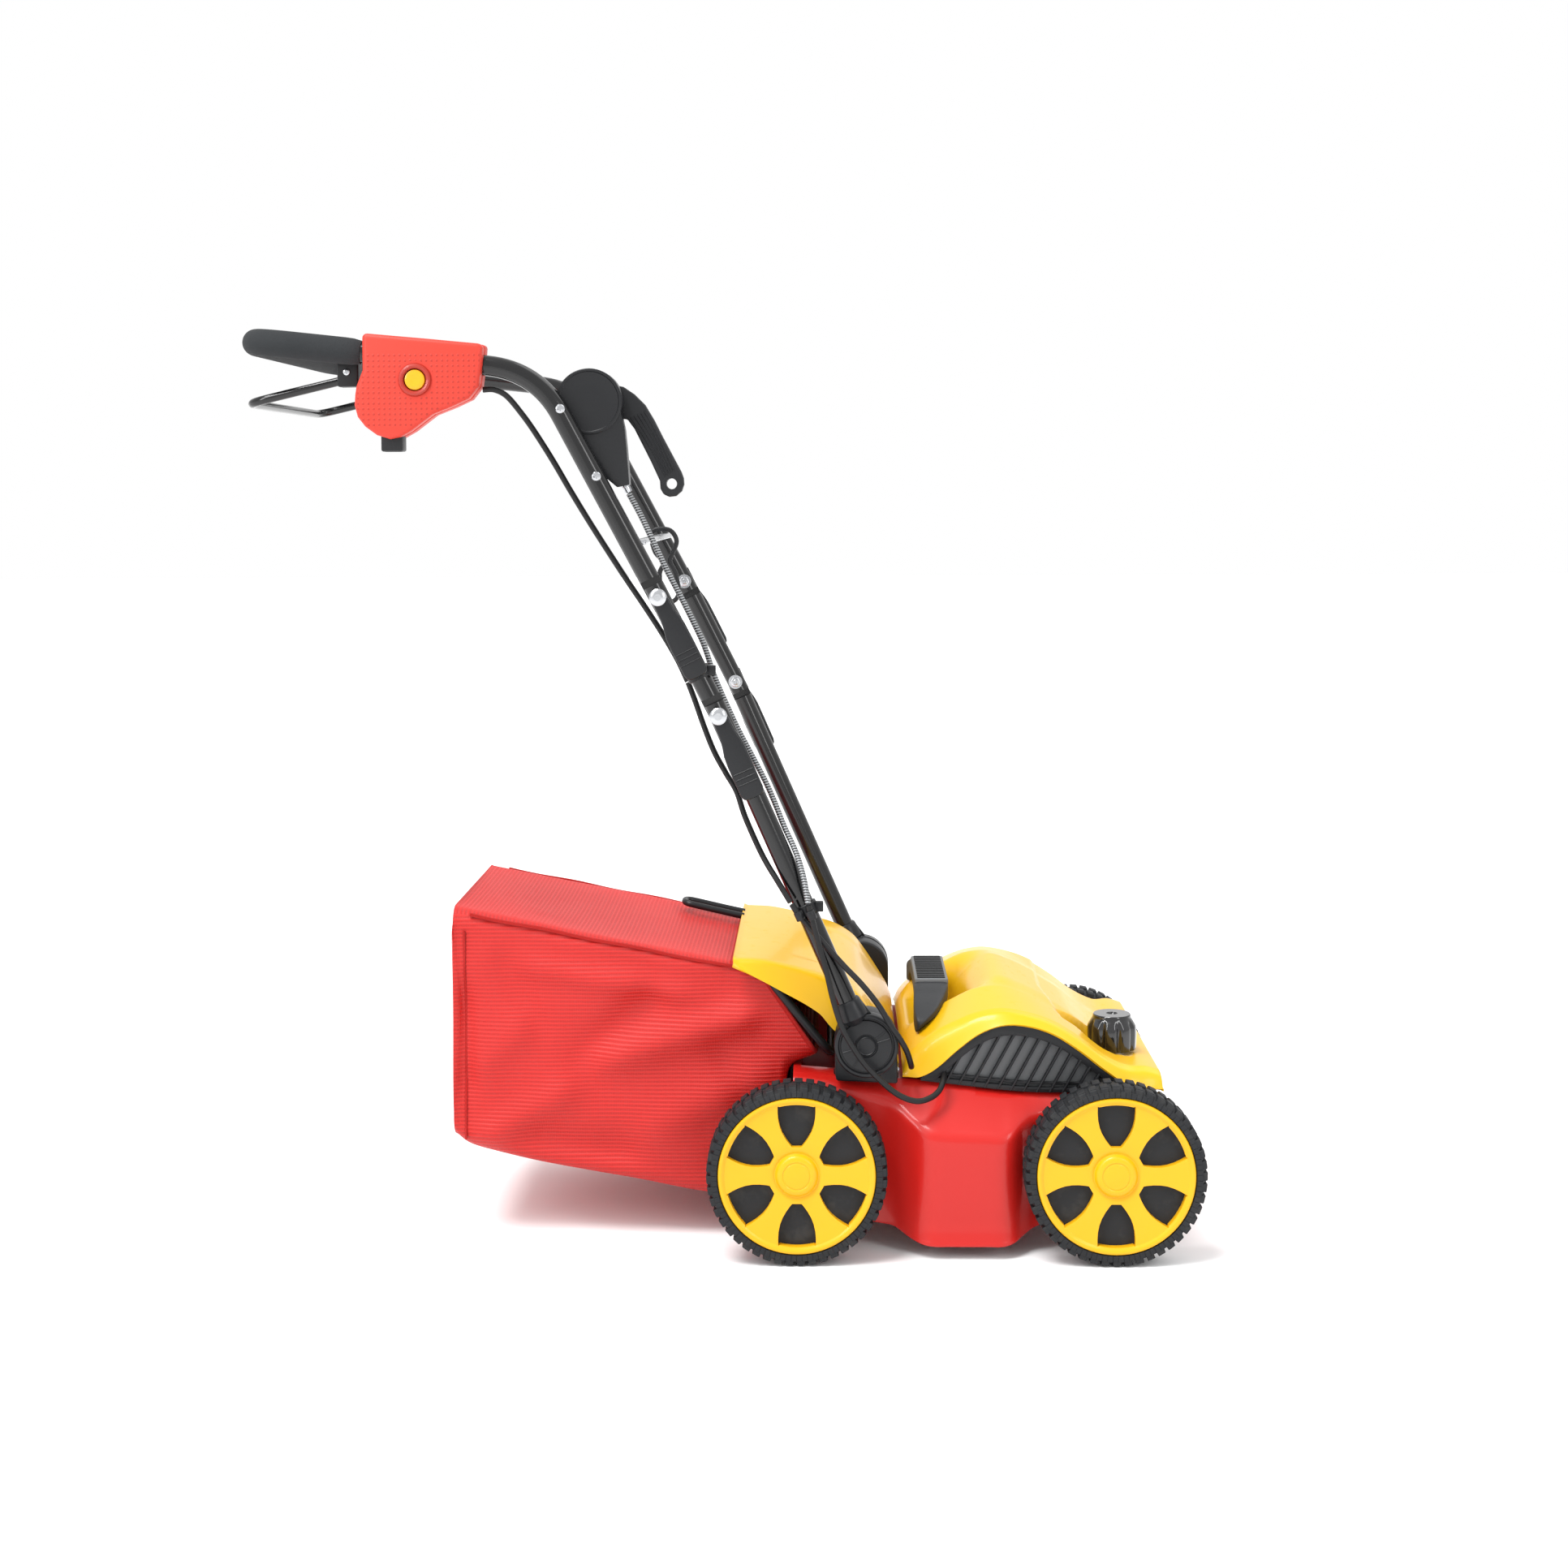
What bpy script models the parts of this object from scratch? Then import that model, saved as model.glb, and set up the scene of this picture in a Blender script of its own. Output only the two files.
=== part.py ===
"""Walk-behind electric lawn scarifier with a catcher bag, as separate sub-parts.

Units are metres. +X points to the machine's front, +Z up, and the origin is on the ground
under the middle of the whole machine. Sizes along X are measured from the rear axle.
"""
import math

import bmesh
import bpy
from mathutils import Matrix, Vector

# ---------------------------------------------------------------- driving sizes
GAP = 0.0003                 # clearance between pieces that touch

# wheels
WHEEL_RADIUS = 0.100
WHEEL_WIDTH = 0.042
WHEEL_SIDES = 28
WHEELBASE = 0.350
TRACK = 0.513                # outer face to outer face
RIM_RADIUS = 0.0868          # yellow wheel cover
HUB_RADIUS = 0.0215
AXLE_RADIUS = 0.006

# deck and hood
DECK_HALF = 0.197            # half width of the deck beside the wheels
BULGE_HALF = 0.232           # half width of the side bulge between the wheels
DECK_WALL = 0.003
HOOD_HALF = 0.190
HOOD_WALL = 0.003
CHUTE_HALF = 0.150
GRILLE_THICKNESS = 0.004

# rotor and drive
ROTOR_X = 0.190
ROTOR_Z = 0.090
BLADE_RADIUS = 0.068
BLADE_COUNT = 12
BLADE_THICKNESS = 0.003
BLADE_PITCH = 0.022
STACK_Y = -0.018              # middle of the blade stack
SHAFT_RADIUS = 0.010
MOTOR_X = 0.225
MOTOR_Z = 0.2215
MOTOR_RADIUS = 0.036
MOTOR_LENGTH = 0.200
DRIVE_RADIUS = 0.014         # motor pulley
DRIVEN_RADIUS = 0.028        # rotor pulley
BELT_WIDTH = 0.010
BELT_THICKNESS = 0.003
BELT_Y = 0.150

# front axle carrier
CARRIER_X = 0.292
CARRIER_Z = 0.122
CARRIER_ARM_Y = 0.172
CARRIER_TUBE = 0.007
AXLE_RISE = 0.011            # how far the front axle can rise in its slots
AXLE_SWING = 0.0035          # and how far forward it swings as it does

# handle pivots
PIVOT_X = 0.0773
PIVOT_Z = 0.2368
PIVOT_RADIUS = 0.0357
PIVOT_FRONT = PIVOT_X + PIVOT_RADIUS
HANDLE_HALF = 0.2175         # half of the handle's width, between tube centres
TUBE_RADIUS = 0.0115
TUBE_WALL = 0.0015
COVER_THICKNESS = 0.018

# handle, side view, from the pivots up
LOWER_CLAMP = (-0.084, 0.605)
UPPER_CLAMP = (-0.1495, 0.7356)
BEND = (-0.282, 0.984)        # where the leg's two straight lines meet
BEND_RADIUS = 0.055
HANDLE_LINE = (-0.247, 0.938) # a point on the upper leg's straight line
GRIP_X = -0.6035
GRIP_Z = 1.0195
GRIP_RADIUS = 0.015
GRIP_START_X = -0.4755
LAP_LENGTH = 0.030
LAP_TIP = 0.014
BOLT_RADIUS = 0.004

# catcher bag
BAG_HALF = 0.165
BAG_WALL = 0.003
BAG_REAR = -0.397
BAG_FRAME_RADIUS = 0.005
BAG_GRIP_Y = 0.100           # middle of the bag's grip loop
BAG_GRIP_HALF = 0.014
BAG_GRIP_RADIUS = 0.004

# rear flap
FLAP_HALF = 0.174
FLAP_WALL = 0.003
FLAP_PIN = (0.112, 0.1985)

# depth knob
KNOB_X = WHEELBASE + 0.014
KNOB_Y = -0.100
KNOB_Z = 0.2035
KNOB_RADIUS = 0.0285
KNOB_HEIGHT = 0.041

# controls
BAIL_PIVOT = (-0.495, 0.980)
BAIL_BAR = (-0.6130, 0.952)
BAIL_HALF = 0.172
BAIL_RADIUS = 0.005
HOUSING = (-0.227, 0.951)
HOUSING_RADIUS = 0.0365
BUTTON = (-0.413, 0.974)
BUTTON_RADIUS = 0.0115
BOX_OUTER = 0.241
BOX_INNER = 0.196
CABLE_RADIUS = 0.0033

FRONT_REACH = WHEELBASE + WHEEL_RADIUS
REAR_REACH = GRIP_X - GRIP_RADIUS
ORIGIN_SHIFT = -(FRONT_REACH + REAR_REACH) / 2

COLOURS = {
    "red_plastic": ((0.70, 0.03, 0.022), 0.42, 0.0),
    "yellow_plastic": ((0.93, 0.56, 0.012), 0.38, 0.0),
    "black_plastic": ((0.030, 0.032, 0.035), 0.50, 0.0),
    "grey_plastic": ((0.060, 0.063, 0.066), 0.55, 0.0),
    "gloss_black": ((0.012, 0.012, 0.013), 0.15, 0.0),
    "tyre_plastic": ((0.040, 0.042, 0.045), 0.62, 0.0),
    "black_paint": ((0.012, 0.012, 0.013), 0.22, 0.0),
    "foam": ((0.028, 0.030, 0.032), 0.90, 0.0),
    "red_fabric": ((0.62, 0.022, 0.015), 0.80, 0.0),
    "box_plastic": ((0.80, 0.075, 0.050), 0.48, 0.0),
    "button_plastic": ((0.93, 0.46, 0.012), 0.35, 0.0),
    "zinc": ((0.72, 0.73, 0.75), 0.25, 1.0),
    "blade_steel": ((0.42, 0.43, 0.45), 0.35, 1.0),
    "motor_metal": ((0.36, 0.37, 0.39), 0.45, 1.0),
    "rubber": ((0.02, 0.02, 0.02), 0.75, 0.0),
}


# ---------------------------------------------------------------- helpers
def clear_scene():
    """Remove every object that the file starts with."""
    for item in list(bpy.data.objects):
        bpy.data.objects.remove(item, do_unlink=True)


def material(name):
    """Return the Principled material of that name, making it once."""
    found = bpy.data.materials.get(name)
    if found:
        return found
    colour, roughness, metallic = COLOURS[name]
    made = bpy.data.materials.new(name)
    made.use_nodes = True
    shader = made.node_tree.nodes["Principled BSDF"]
    shader.inputs["Base Color"].default_value = (*colour, 1.0)
    shader.inputs["Roughness"].default_value = roughness
    shader.inputs["Metallic"].default_value = metallic
    return made


def body(name, parent, x, y, z):
    """Make an empty on a joint's axis, at a place in the machine's own frame."""
    empty = bpy.data.objects.new(name + "_axis", None)
    bpy.context.collection.objects.link(empty)
    empty["place"] = (x, y, z)
    empty.parent = parent
    above = Vector(parent["place"]) if parent else Vector((0, 0, 0))
    empty.location = Vector((x, y, z)) - above
    return empty


def add(name, data, parent, finish, smooth=True):
    """Link a mesh or a curve as the sub-part NAME, drawn in the machine's own frame."""
    if isinstance(data, bmesh.types.BMesh):
        bmesh.ops.recalc_face_normals(data, faces=data.faces)
        mesh = bpy.data.meshes.new(name)
        data.to_mesh(mesh)
        data.free()
        if smooth:
            mesh.shade_smooth()
            mesh.set_sharp_from_angle(angle=math.radians(35))
        data = mesh
    item = bpy.data.objects.new(name, data)
    bpy.context.collection.objects.link(item)
    data.materials.append(material(finish))
    item.parent = parent
    item.location = -Vector(parent["place"])
    return item


def cutter(name, data, parent):
    """Add a hidden solid that only cuts others."""
    item = add(name, data, parent, "black_plastic")
    item.hide_render = True
    item.display_type = "WIRE"
    return item


def boolean(target, tool, operation="DIFFERENCE"):
    step = target.modifiers.new(operation.lower(), "BOOLEAN")
    step.object = tool
    step.operation = operation
    step.solver = "EXACT"
    return step


def solidify(target, thickness):
    step = target.modifiers.new("wall", "SOLIDIFY")
    step.thickness = thickness
    step.offset = -1
    step.use_even_offset = True
    return step


def between(x, points):
    """Read a value at x from (x, value) points, straight between them."""
    if x <= points[0][0]:
        return points[0][1]
    for (xa, va), (xb, vb) in zip(points, points[1:]):
        if x <= xb:
            return va + (vb - va) * (x - xa) / (xb - xa)
    return points[-1][1]


def prism(outline, low, high):
    """A solid with a side-view outline of (x, z) points, from y = low to y = high."""
    bm = bmesh.new()
    face = bm.faces.new([bm.verts.new((x, low, z)) for x, z in outline])
    made = bmesh.ops.extrude_face_region(bm, geom=[face])
    moved = [v for v in made["geom"] if isinstance(v, bmesh.types.BMVert)]
    bmesh.ops.translate(bm, verts=moved, vec=(0, high - low, 0))
    return bm


def box(x0, x1, y0, y1, z0, z1):
    return prism([(x0, z0), (x1, z0), (x1, z1), (x0, z1)], y0, y1)


def turned(profile, x, z, sides, axis="Y", y=0.0, start=0.0):
    """Turn (radius, along) points round an axis through (x, y, z). A closed ring of points."""
    bm = bmesh.new()
    verts = [bm.verts.new((radius, along, 0)) for radius, along in profile]
    edges = [bm.edges.new((a, b)) for a, b in zip(verts, verts[1:] + verts[:1])
             if a.co.x > 0 or b.co.x > 0]
    bmesh.ops.spin(bm, geom=verts + edges, cent=(0, 0, 0), axis=(0, 1, 0), dvec=(0, 0, 0),
                   angle=2 * math.pi, steps=sides, use_merge=True, use_duplicate=False)
    bmesh.ops.remove_doubles(bm, verts=bm.verts, dist=0.00002)
    place = Matrix.Translation((x, y, z)) @ Matrix.Rotation(start, 4, "Y")
    if axis == "Z":
        place = place @ Matrix.Rotation(math.radians(90), 4, "X")
    bmesh.ops.transform(bm, matrix=place, verts=bm.verts)
    return bm


def disc(x, z, radius, y0, y1, sides=16):
    """A plain round pin or disc along Y."""
    return turned([(0, y0), (radius, y0), (radius, y1), (0, y1)], x, z, sides)


def sweep(points, radius, sides, bore=0.0):
    """A round bar, or a pipe with a bore, along a path of 3-D points."""
    path = [Vector(p) for p in points]
    bm = bmesh.new()
    side = None
    rings = {radius: [], bore: []}
    for i, point in enumerate(path):
        ahead = path[min(i + 1, len(path) - 1)] - point
        behind = point - path[max(i - 1, 0)]
        along = (ahead.normalized() + behind.normalized()).normalized()
        if side is None:
            side = along.orthogonal().normalized()
        side = (side - along * side.dot(along)).normalized()
        other = along.cross(side)
        for size, ring in rings.items():
            if size == 0:
                continue
            turn = [2 * math.pi * k / sides for k in range(sides)]
            ring.append([bm.verts.new(point + (side * math.cos(a) + other * math.sin(a)) * size)
                         for a in turn])
    for size, ring in rings.items():
        for ra, rb in zip(ring, ring[1:]):
            for k in range(sides):
                n = (k + 1) % sides
                bm.faces.new((ra[k], ra[n], rb[n], rb[k]))
    for end in (0, -1):
        if bore:
            outer, inner = rings[radius][end], rings[bore][end]
            for k in range(sides):
                n = (k + 1) % sides
                bm.faces.new((outer[k], outer[n], inner[n], inner[k]))
        else:
            bm.faces.new(rings[radius][end])
    return bm


def smooth_path(points, steps):
    """Points on a smooth curve through the given ones."""
    path = [Vector(p) for p in points]
    out = []
    for i in range(len(path) - 1):
        p0 = path[max(i - 1, 0)]
        p1, p2 = path[i], path[i + 1]
        p3 = path[min(i + 2, len(path) - 1)]
        for k in range(steps):
            t = k / steps
            out.append(0.5 * ((2 * p1) + (p2 - p0) * t + (2 * p0 - 5 * p1 + 4 * p2 - p3) * t * t
                              + (3 * p1 - p0 - 3 * p2 + p3) * t ** 3))
    out.append(path[-1])
    return out


def cable(name, points, parent, radius=CABLE_RADIUS):
    """A cable as a curve with a bevel and filled ends."""
    data = bpy.data.curves.new(name, "CURVE")
    data.dimensions = "3D"
    data.bevel_depth = radius
    data.bevel_resolution = 1
    data.use_fill_caps = True
    route = smooth_path(points, 2)
    line = data.splines.new("POLY")
    line.points.add(len(route) - 1)
    for point, place in zip(line.points, route):
        point.co = (*place, 1)
    return add(name, data, parent, "rubber")


def bent(corners, radius, steps=4):
    """Round the inner corners of a path of 3-D points."""
    path = [Vector(p) for p in corners]
    out = [path[0]]
    for before, corner, after in zip(path, path[1:], path[2:]):
        start = corner + (before - corner).normalized() * radius
        end = corner + (after - corner).normalized() * radius
        for k in range(steps + 1):
            t = k / steps
            out.append(start * (1 - t) ** 2 + corner * 2 * t * (1 - t) + end * t * t)
    out.append(path[-1])
    return out


SIDES = (("right", -1), ("left", 1))


# ---------------------------------------------------------------- chassis
# x, bottom z, half width, ridge z where the side meets the top
DECK_ROWS = (
    (-0.005, 0.060, DECK_HALF - 0.002, 0.193),
    (0.050, 0.036, DECK_HALF, 0.184),
    (0.098, 0.030, 0.200, 0.172),
    (0.117, 0.024, 0.209, 0.161),
    (0.137, 0.017, 0.225, 0.147),
    (0.152, 0.015, BULGE_HALF, 0.139),
    (0.226, 0.015, BULGE_HALF, 0.136),
    (0.242, 0.017, 0.225, 0.143),
    (0.258, 0.024, 0.208, 0.150),
    (0.275, 0.030, 0.200, 0.152),
    (WHEELBASE, 0.036, DECK_HALF, 0.153),
    (WHEELBASE + 0.055, 0.050, 0.190, 0.146),
)
DECK_TOP = ((-0.005, 0.197), (0.050, 0.1925), (0.118, 0.189), (0.143, 0.187), (0.227, 0.1775),
            (0.265, 0.1745), (WHEELBASE, 0.173), (WHEELBASE + 0.055, 0.166))   # x, z of the deck's top
DECK_TOP_HALF = 0.185


def shell(rows, wall, name, parent, finish):
    """Skin a row of cross-sections, close both ends, and give it a wall. It stays open below."""
    bm = bmesh.new()
    lines = [[bm.verts.new(p) for p in row] for row in rows]
    for la, lb in zip(lines, lines[1:]):
        for k in range(len(la) - 1):
            bm.faces.new((la[k], la[k + 1], lb[k + 1], lb[k]))
    bm.faces.new(lines[0])
    bm.faces.new(lines[-1])
    item = add(name, bm, parent, finish)
    # outward: the middle of the top has to look up
    mesh = item.data
    top = max(mesh.polygons, key=lambda f: f.center.z)
    if top.normal.z < 0:
        mesh.flip_normals()
    solidify(item, wall)
    return item


def make_deck(root):
    rows = []
    for x, bottom, half, ridge in DECK_ROWS:
        top = between(x, DECK_TOP)
        right = [(x, -half, bottom), (x, -half, ridge), (x, -DECK_TOP_HALF + 0.005, top)]
        left = [(x, -y, z) for x, y, z in reversed(right)]
        rows.append(right + left)
    deck = shell(rows, DECK_WALL, "deck_shell", root, "red_plastic")
    chute = cutter("chute_cut", box(0.004, 0.104, -CHUTE_HALF, CHUTE_HALF, 0.100, 0.230), root)
    slot = cutter("belt_slot_cut", box(ROTOR_X - DRIVEN_RADIUS - 0.010, MOTOR_X + DRIVE_RADIUS + 0.012,
                                       BELT_Y - 0.012, BELT_Y + 0.012,
                                       DECK_TOP[4][1] - 0.018, DECK_TOP[0][1] + 0.013), root)
    boolean(deck, chute)
    boolean(deck, slot)
    # the front holes are slots that the axle rises in
    for name, x, clear, rise in (("rear", 0.0, AXLE_RADIUS + GAP, 0.0),
                                 ("front", WHEELBASE, AXLE_RADIUS + AXLE_SWING, AXLE_RISE)):
        hole = [(x + clear * math.cos(a),
                 WHEEL_RADIUS + clear * math.sin(a) + (rise if a < math.pi else 0))
                for a in [math.tau * (k + 0.5) / 12 for k in range(12)]]
        boolean(deck, cutter(name + "_axle_cut", prism(hole, -0.3, 0.3), root))
    return deck


# x, then z at the side edge, at |y| = 0.168, at |y| = 0.10 and at the middle
HOOD_ROWS = (
    (0.1185, 0.1955, 0.199, 0.206, 0.207),
    (0.124, 0.194, 0.212, 0.220, 0.222),
    (0.137, 0.193, 0.226, 0.237, 0.223),
    (0.155, 0.202, 0.240, 0.249, 0.220),
    (0.180, 0.224, 0.253, 0.263, 0.231),
    (0.205, 0.2425, 0.263, 0.274, 0.264),
    (0.232, 0.252, 0.267, 0.2765, 0.280),
    (0.262, 0.2505, 0.262, 0.268, 0.271),
    (0.290, 0.241, 0.252, 0.254, 0.257),
    (0.318, 0.223, 0.235, 0.237, 0.240),
    (WHEELBASE - 0.005, 0.202, 0.215, 0.216, 0.219),
    (WHEELBASE + 0.022, 0.184, 0.202, 0.2025, 0.203),
    (WHEELBASE + 0.045, 0.180, 0.200, 0.200, 0.200),
    (WHEELBASE + 0.059, 0.179, 0.196, 0.196, 0.196),
)
HOOD_EDGE = [(row[0], row[1]) for row in HOOD_ROWS]


def make_hood(root):
    rows = []
    for x, edge, shoulder, ridge, middle in HOOD_ROWS:
        right = [(x, -HOOD_HALF, edge), (x, -HOOD_HALF + 0.004, edge + 0.45 * (shoulder - edge)),
                 (x, -0.168, shoulder), (x, -0.100, ridge), (x, -0.055, middle)]
        rows.append(right + [(x, -y, z) for x, y, z in reversed(right)])
    hood = shell(rows, HOOD_WALL, "hood", root, "yellow_plastic")
    well = cutter("knob_well_cut", turned([(0, 0.16), (KNOB_RADIUS + 0.003, 0.16),
                                           (KNOB_RADIUS + 0.003, 0.30), (0, 0.30)],
                                          KNOB_X, 0.0, 16, "Z", KNOB_Y), root)
    boolean(hood, well)
    return hood


def make_grilles(root):
    """The black side vents under the hood's arch."""
    inner = HOOD_HALF - HOOD_WALL - 0.004
    for name, sign in SIDES:
        steps = [0.146 + 0.0155 * k for k in range(15)]
        low = [(x, between(x, DECK_TOP) + 0.0008) for x in steps]
        high = [(x, max(between(x, HOOD_EDGE) + 0.002, between(x, DECK_TOP) + 0.005)) for x in steps]
        outline = low + high[::-1]
        low_y, high_y = sorted((sign * (inner - GRILLE_THICKNESS), sign * inner))
        add("side_grille_" + name, prism(outline, low_y, high_y), root, "black_plastic", smooth=False)


def make_carry_handle(root):
    """The bridge handle over the hood's scoop, with a leg down each flank."""
    top, thickness, half = 0.2735, 0.018, 0.068
    x0, x1 = 0.1360, 0.1770
    bm = bmesh.new()
    rows = [(-0.150, 0.2262, 0.2460, x0 - 0.004, x0 + 0.014),
            (-0.104, 0.2390, 0.2650, x0 - 0.002, x1 - 0.008),
            (-half, top - thickness + 0.002, top, x0, x1),
            (-0.030, top - thickness, top + 0.002, x0, x1)]
    rows += [(-y, z0, z1, xa, xb) for y, z0, z1, xa, xb in reversed(rows)]
    rings = [[bm.verts.new(p) for p in ((xa, y, z0), (xb, y, z0 + lift), (xb, y, z1), (xa, y, z1))]
             for y, z0, z1, xa, xb in rows
             for lift in (0.017 if abs(y) > 0.14 else 0.0225 if abs(y) > 0.1 else 0.0,)]
    for ra, rb in zip(rings, rings[1:]):
        for k in range(4):
            n = (k + 1) % 4
            bm.faces.new((ra[k], ra[n], rb[n], rb[k]))
    bm.faces.new(rings[0])
    bm.faces.new(rings[-1])
    add("carry_handle", bm, root, "grey_plastic", smooth=False)


def make_drive(root, drive, rotor):
    half = MOTOR_LENGTH / 2
    centre = BELT_Y - 0.030 - half
    add("motor", turned([(0, centre - half), (0.020, centre - half),
                         (MOTOR_RADIUS, centre - half + 0.012), (MOTOR_RADIUS, centre + half - 0.008),
                         (0.016, centre + half), (0, centre + half)],
                        MOTOR_X, MOTOR_Z, 20), root, "motor_metal")
    near, far = BELT_Y - 0.008, BELT_Y + 0.008
    groove = BELT_WIDTH / 2 + 0.001
    start, flange = centre + half + GAP, DRIVE_RADIUS + 0.003
    add("drive_pulley", turned([(0, start), (0.006, start), (0.006, near), (flange, near),
                                (flange, BELT_Y - groove), (DRIVE_RADIUS, BELT_Y - groove),
                                (DRIVE_RADIUS, BELT_Y + groove), (flange, BELT_Y + groove),
                                (flange, far), (0, far)], MOTOR_X, MOTOR_Z, 16), drive, "motor_metal")
    make_belt(root)
    end = BULGE_HALF - DECK_WALL - 0.001
    add("rotor_shaft", disc(ROTOR_X, ROTOR_Z, SHAFT_RADIUS, -end, end, 12), rotor, "blade_steel")
    grip, flange = SHAFT_RADIUS + GAP, DRIVEN_RADIUS + 0.003
    add("rotor_pulley", turned([(grip, near), (flange, near), (flange, BELT_Y - groove),
                                (DRIVEN_RADIUS, BELT_Y - groove), (DRIVEN_RADIUS, BELT_Y + groove),
                                (flange, BELT_Y + groove), (flange, far), (grip, far)],
                               ROTOR_X, ROTOR_Z, 16), rotor, "motor_metal")
    make_blades(rotor)
    for name, sign in SIDES:
        face = sorted((sign * 0.200, sign * (BULGE_HALF - DECK_WALL - 0.0008)))
        add("rotor_bearing_" + name, turned([(grip, face[0]), (0.020, face[0]), (0.020, face[1]),
                                             (grip, face[1])], ROTOR_X, ROTOR_Z, 16), root, "motor_metal")


def make_belt(root):
    """A flat belt round both pulleys, as a ring of the two radii."""
    low, high = Vector((ROTOR_X, ROTOR_Z)), Vector((MOTOR_X, MOTOR_Z))
    line = high - low
    lean = math.atan2(line.y, line.x)
    open_angle = math.acos((DRIVEN_RADIUS - DRIVE_RADIUS) / line.length)

    def loop(extra):
        out = []
        for k in range(9):
            a = lean + open_angle + (math.tau - 2 * open_angle) * k / 8
            out.append(low + Vector((math.cos(a), math.sin(a))) * (DRIVEN_RADIUS + extra))
        for k in range(7):
            a = lean - open_angle + 2 * open_angle * k / 6
            out.append(high + Vector((math.cos(a), math.sin(a))) * (DRIVE_RADIUS + extra))
        return out

    inner, outer = loop(0.0009), loop(0.0009 + BELT_THICKNESS)
    bm = bmesh.new()
    rings = [[bm.verts.new((p.x, y, p.y)) for p in points]
             for points, y in ((inner, BELT_Y - BELT_WIDTH / 2), (outer, BELT_Y - BELT_WIDTH / 2),
                               (outer, BELT_Y + BELT_WIDTH / 2), (inner, BELT_Y + BELT_WIDTH / 2))]
    for ra, rb in zip(rings, rings[1:] + rings[:1]):
        for k in range(len(ra)):
            n = (k + 1) % len(ra)
            bm.faces.new((ra[k], ra[n], rb[n], rb[k]))
    add("drive_belt", bm, root, "rubber")


def make_blades(rotor):
    """Three-pointed blades on a sleeve, each turned a little from the last, as one stack."""
    bore, sleeve = SHAFT_RADIUS + GAP, 0.017
    half = BLADE_PITCH * (BLADE_COUNT - 1) / 2
    low, high = STACK_Y - half - 0.012, STACK_Y + half + 0.012
    stack = add("blade_stack", turned([(bore, low), (sleeve, low), (sleeve, high), (bore, high)],
                                      ROTOR_X, ROTOR_Z, 12), rotor, "blade_steel")
    bm = bmesh.new()
    for number in range(BLADE_COUNT):
        y = STACK_Y - half + BLADE_PITCH * number
        turn = math.radians(25.7 * number)
        outline = []
        for k in range(3):
            a = turn + math.tau * k / 3
            for shift, radius in ((-0.70, 0.0155), (-0.05, BLADE_RADIUS), (0.13, BLADE_RADIUS - 0.008)):
                outline.append((ROTOR_X + radius * math.cos(a + shift),
                                ROTOR_Z + radius * math.sin(a + shift)))
        plate = prism(outline, y - BLADE_THICKNESS / 2, y + BLADE_THICKNESS / 2)
        mesh = bpy.data.meshes.new("blade")
        bmesh.ops.recalc_face_normals(plate, faces=plate.faces)
        plate.to_mesh(mesh)
        plate.free()
        bm.from_mesh(mesh)
        bpy.data.meshes.remove(mesh)
    plates = cutter("blade_plates", bm, rotor)
    core = cutter("blade_bore", disc(ROTOR_X, ROTOR_Z, bore, -0.3, 0.3, 12), rotor)
    boolean(stack, plates, "UNION")
    boolean(stack, core)


def make_axles(root, carrier):
    reach = TRACK / 2 - 0.012
    add("rear_axle", disc(0.0, WHEEL_RADIUS, AXLE_RADIUS, -reach, reach, 12), root, "zinc")
    axle = add("front_axle", disc(WHEELBASE, WHEEL_RADIUS, AXLE_RADIUS, -reach, reach, 12),
               carrier, "zinc")
    tube = cutter("carrier_tube", disc(CARRIER_X, CARRIER_Z, CARRIER_TUBE,
                                       -DECK_HALF + 0.006, DECK_HALF - 0.006, 12), carrier)
    boolean(axle, tube, "UNION")
    for name, sign in SIDES:
        low, high = sorted((sign * CARRIER_ARM_Y, sign * (CARRIER_ARM_Y - 0.006)))
        arm = prism([(CARRIER_X - 0.004, CARRIER_Z - 0.005), (WHEELBASE, WHEEL_RADIUS - 0.010),
                     (WHEELBASE + 0.009, WHEEL_RADIUS), (WHEELBASE, WHEEL_RADIUS + 0.010),
                     (CARRIER_X + 0.002, CARRIER_Z + 0.006)], low, high)
        boolean(axle, cutter("carrier_arm_" + name, arm, carrier), "UNION")


def wheel_turned(profile, x, sign):
    """Turn a wheel's profile so that flats, not corners, lie on its true radii and on the ground."""
    stretch = 1 / math.cos(math.pi / WHEEL_SIDES)
    return turned([(radius * stretch, sign * y) for radius, y in profile], x, WHEEL_RADIUS,
                  WHEEL_SIDES, start=math.pi / WHEEL_SIDES)


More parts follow.
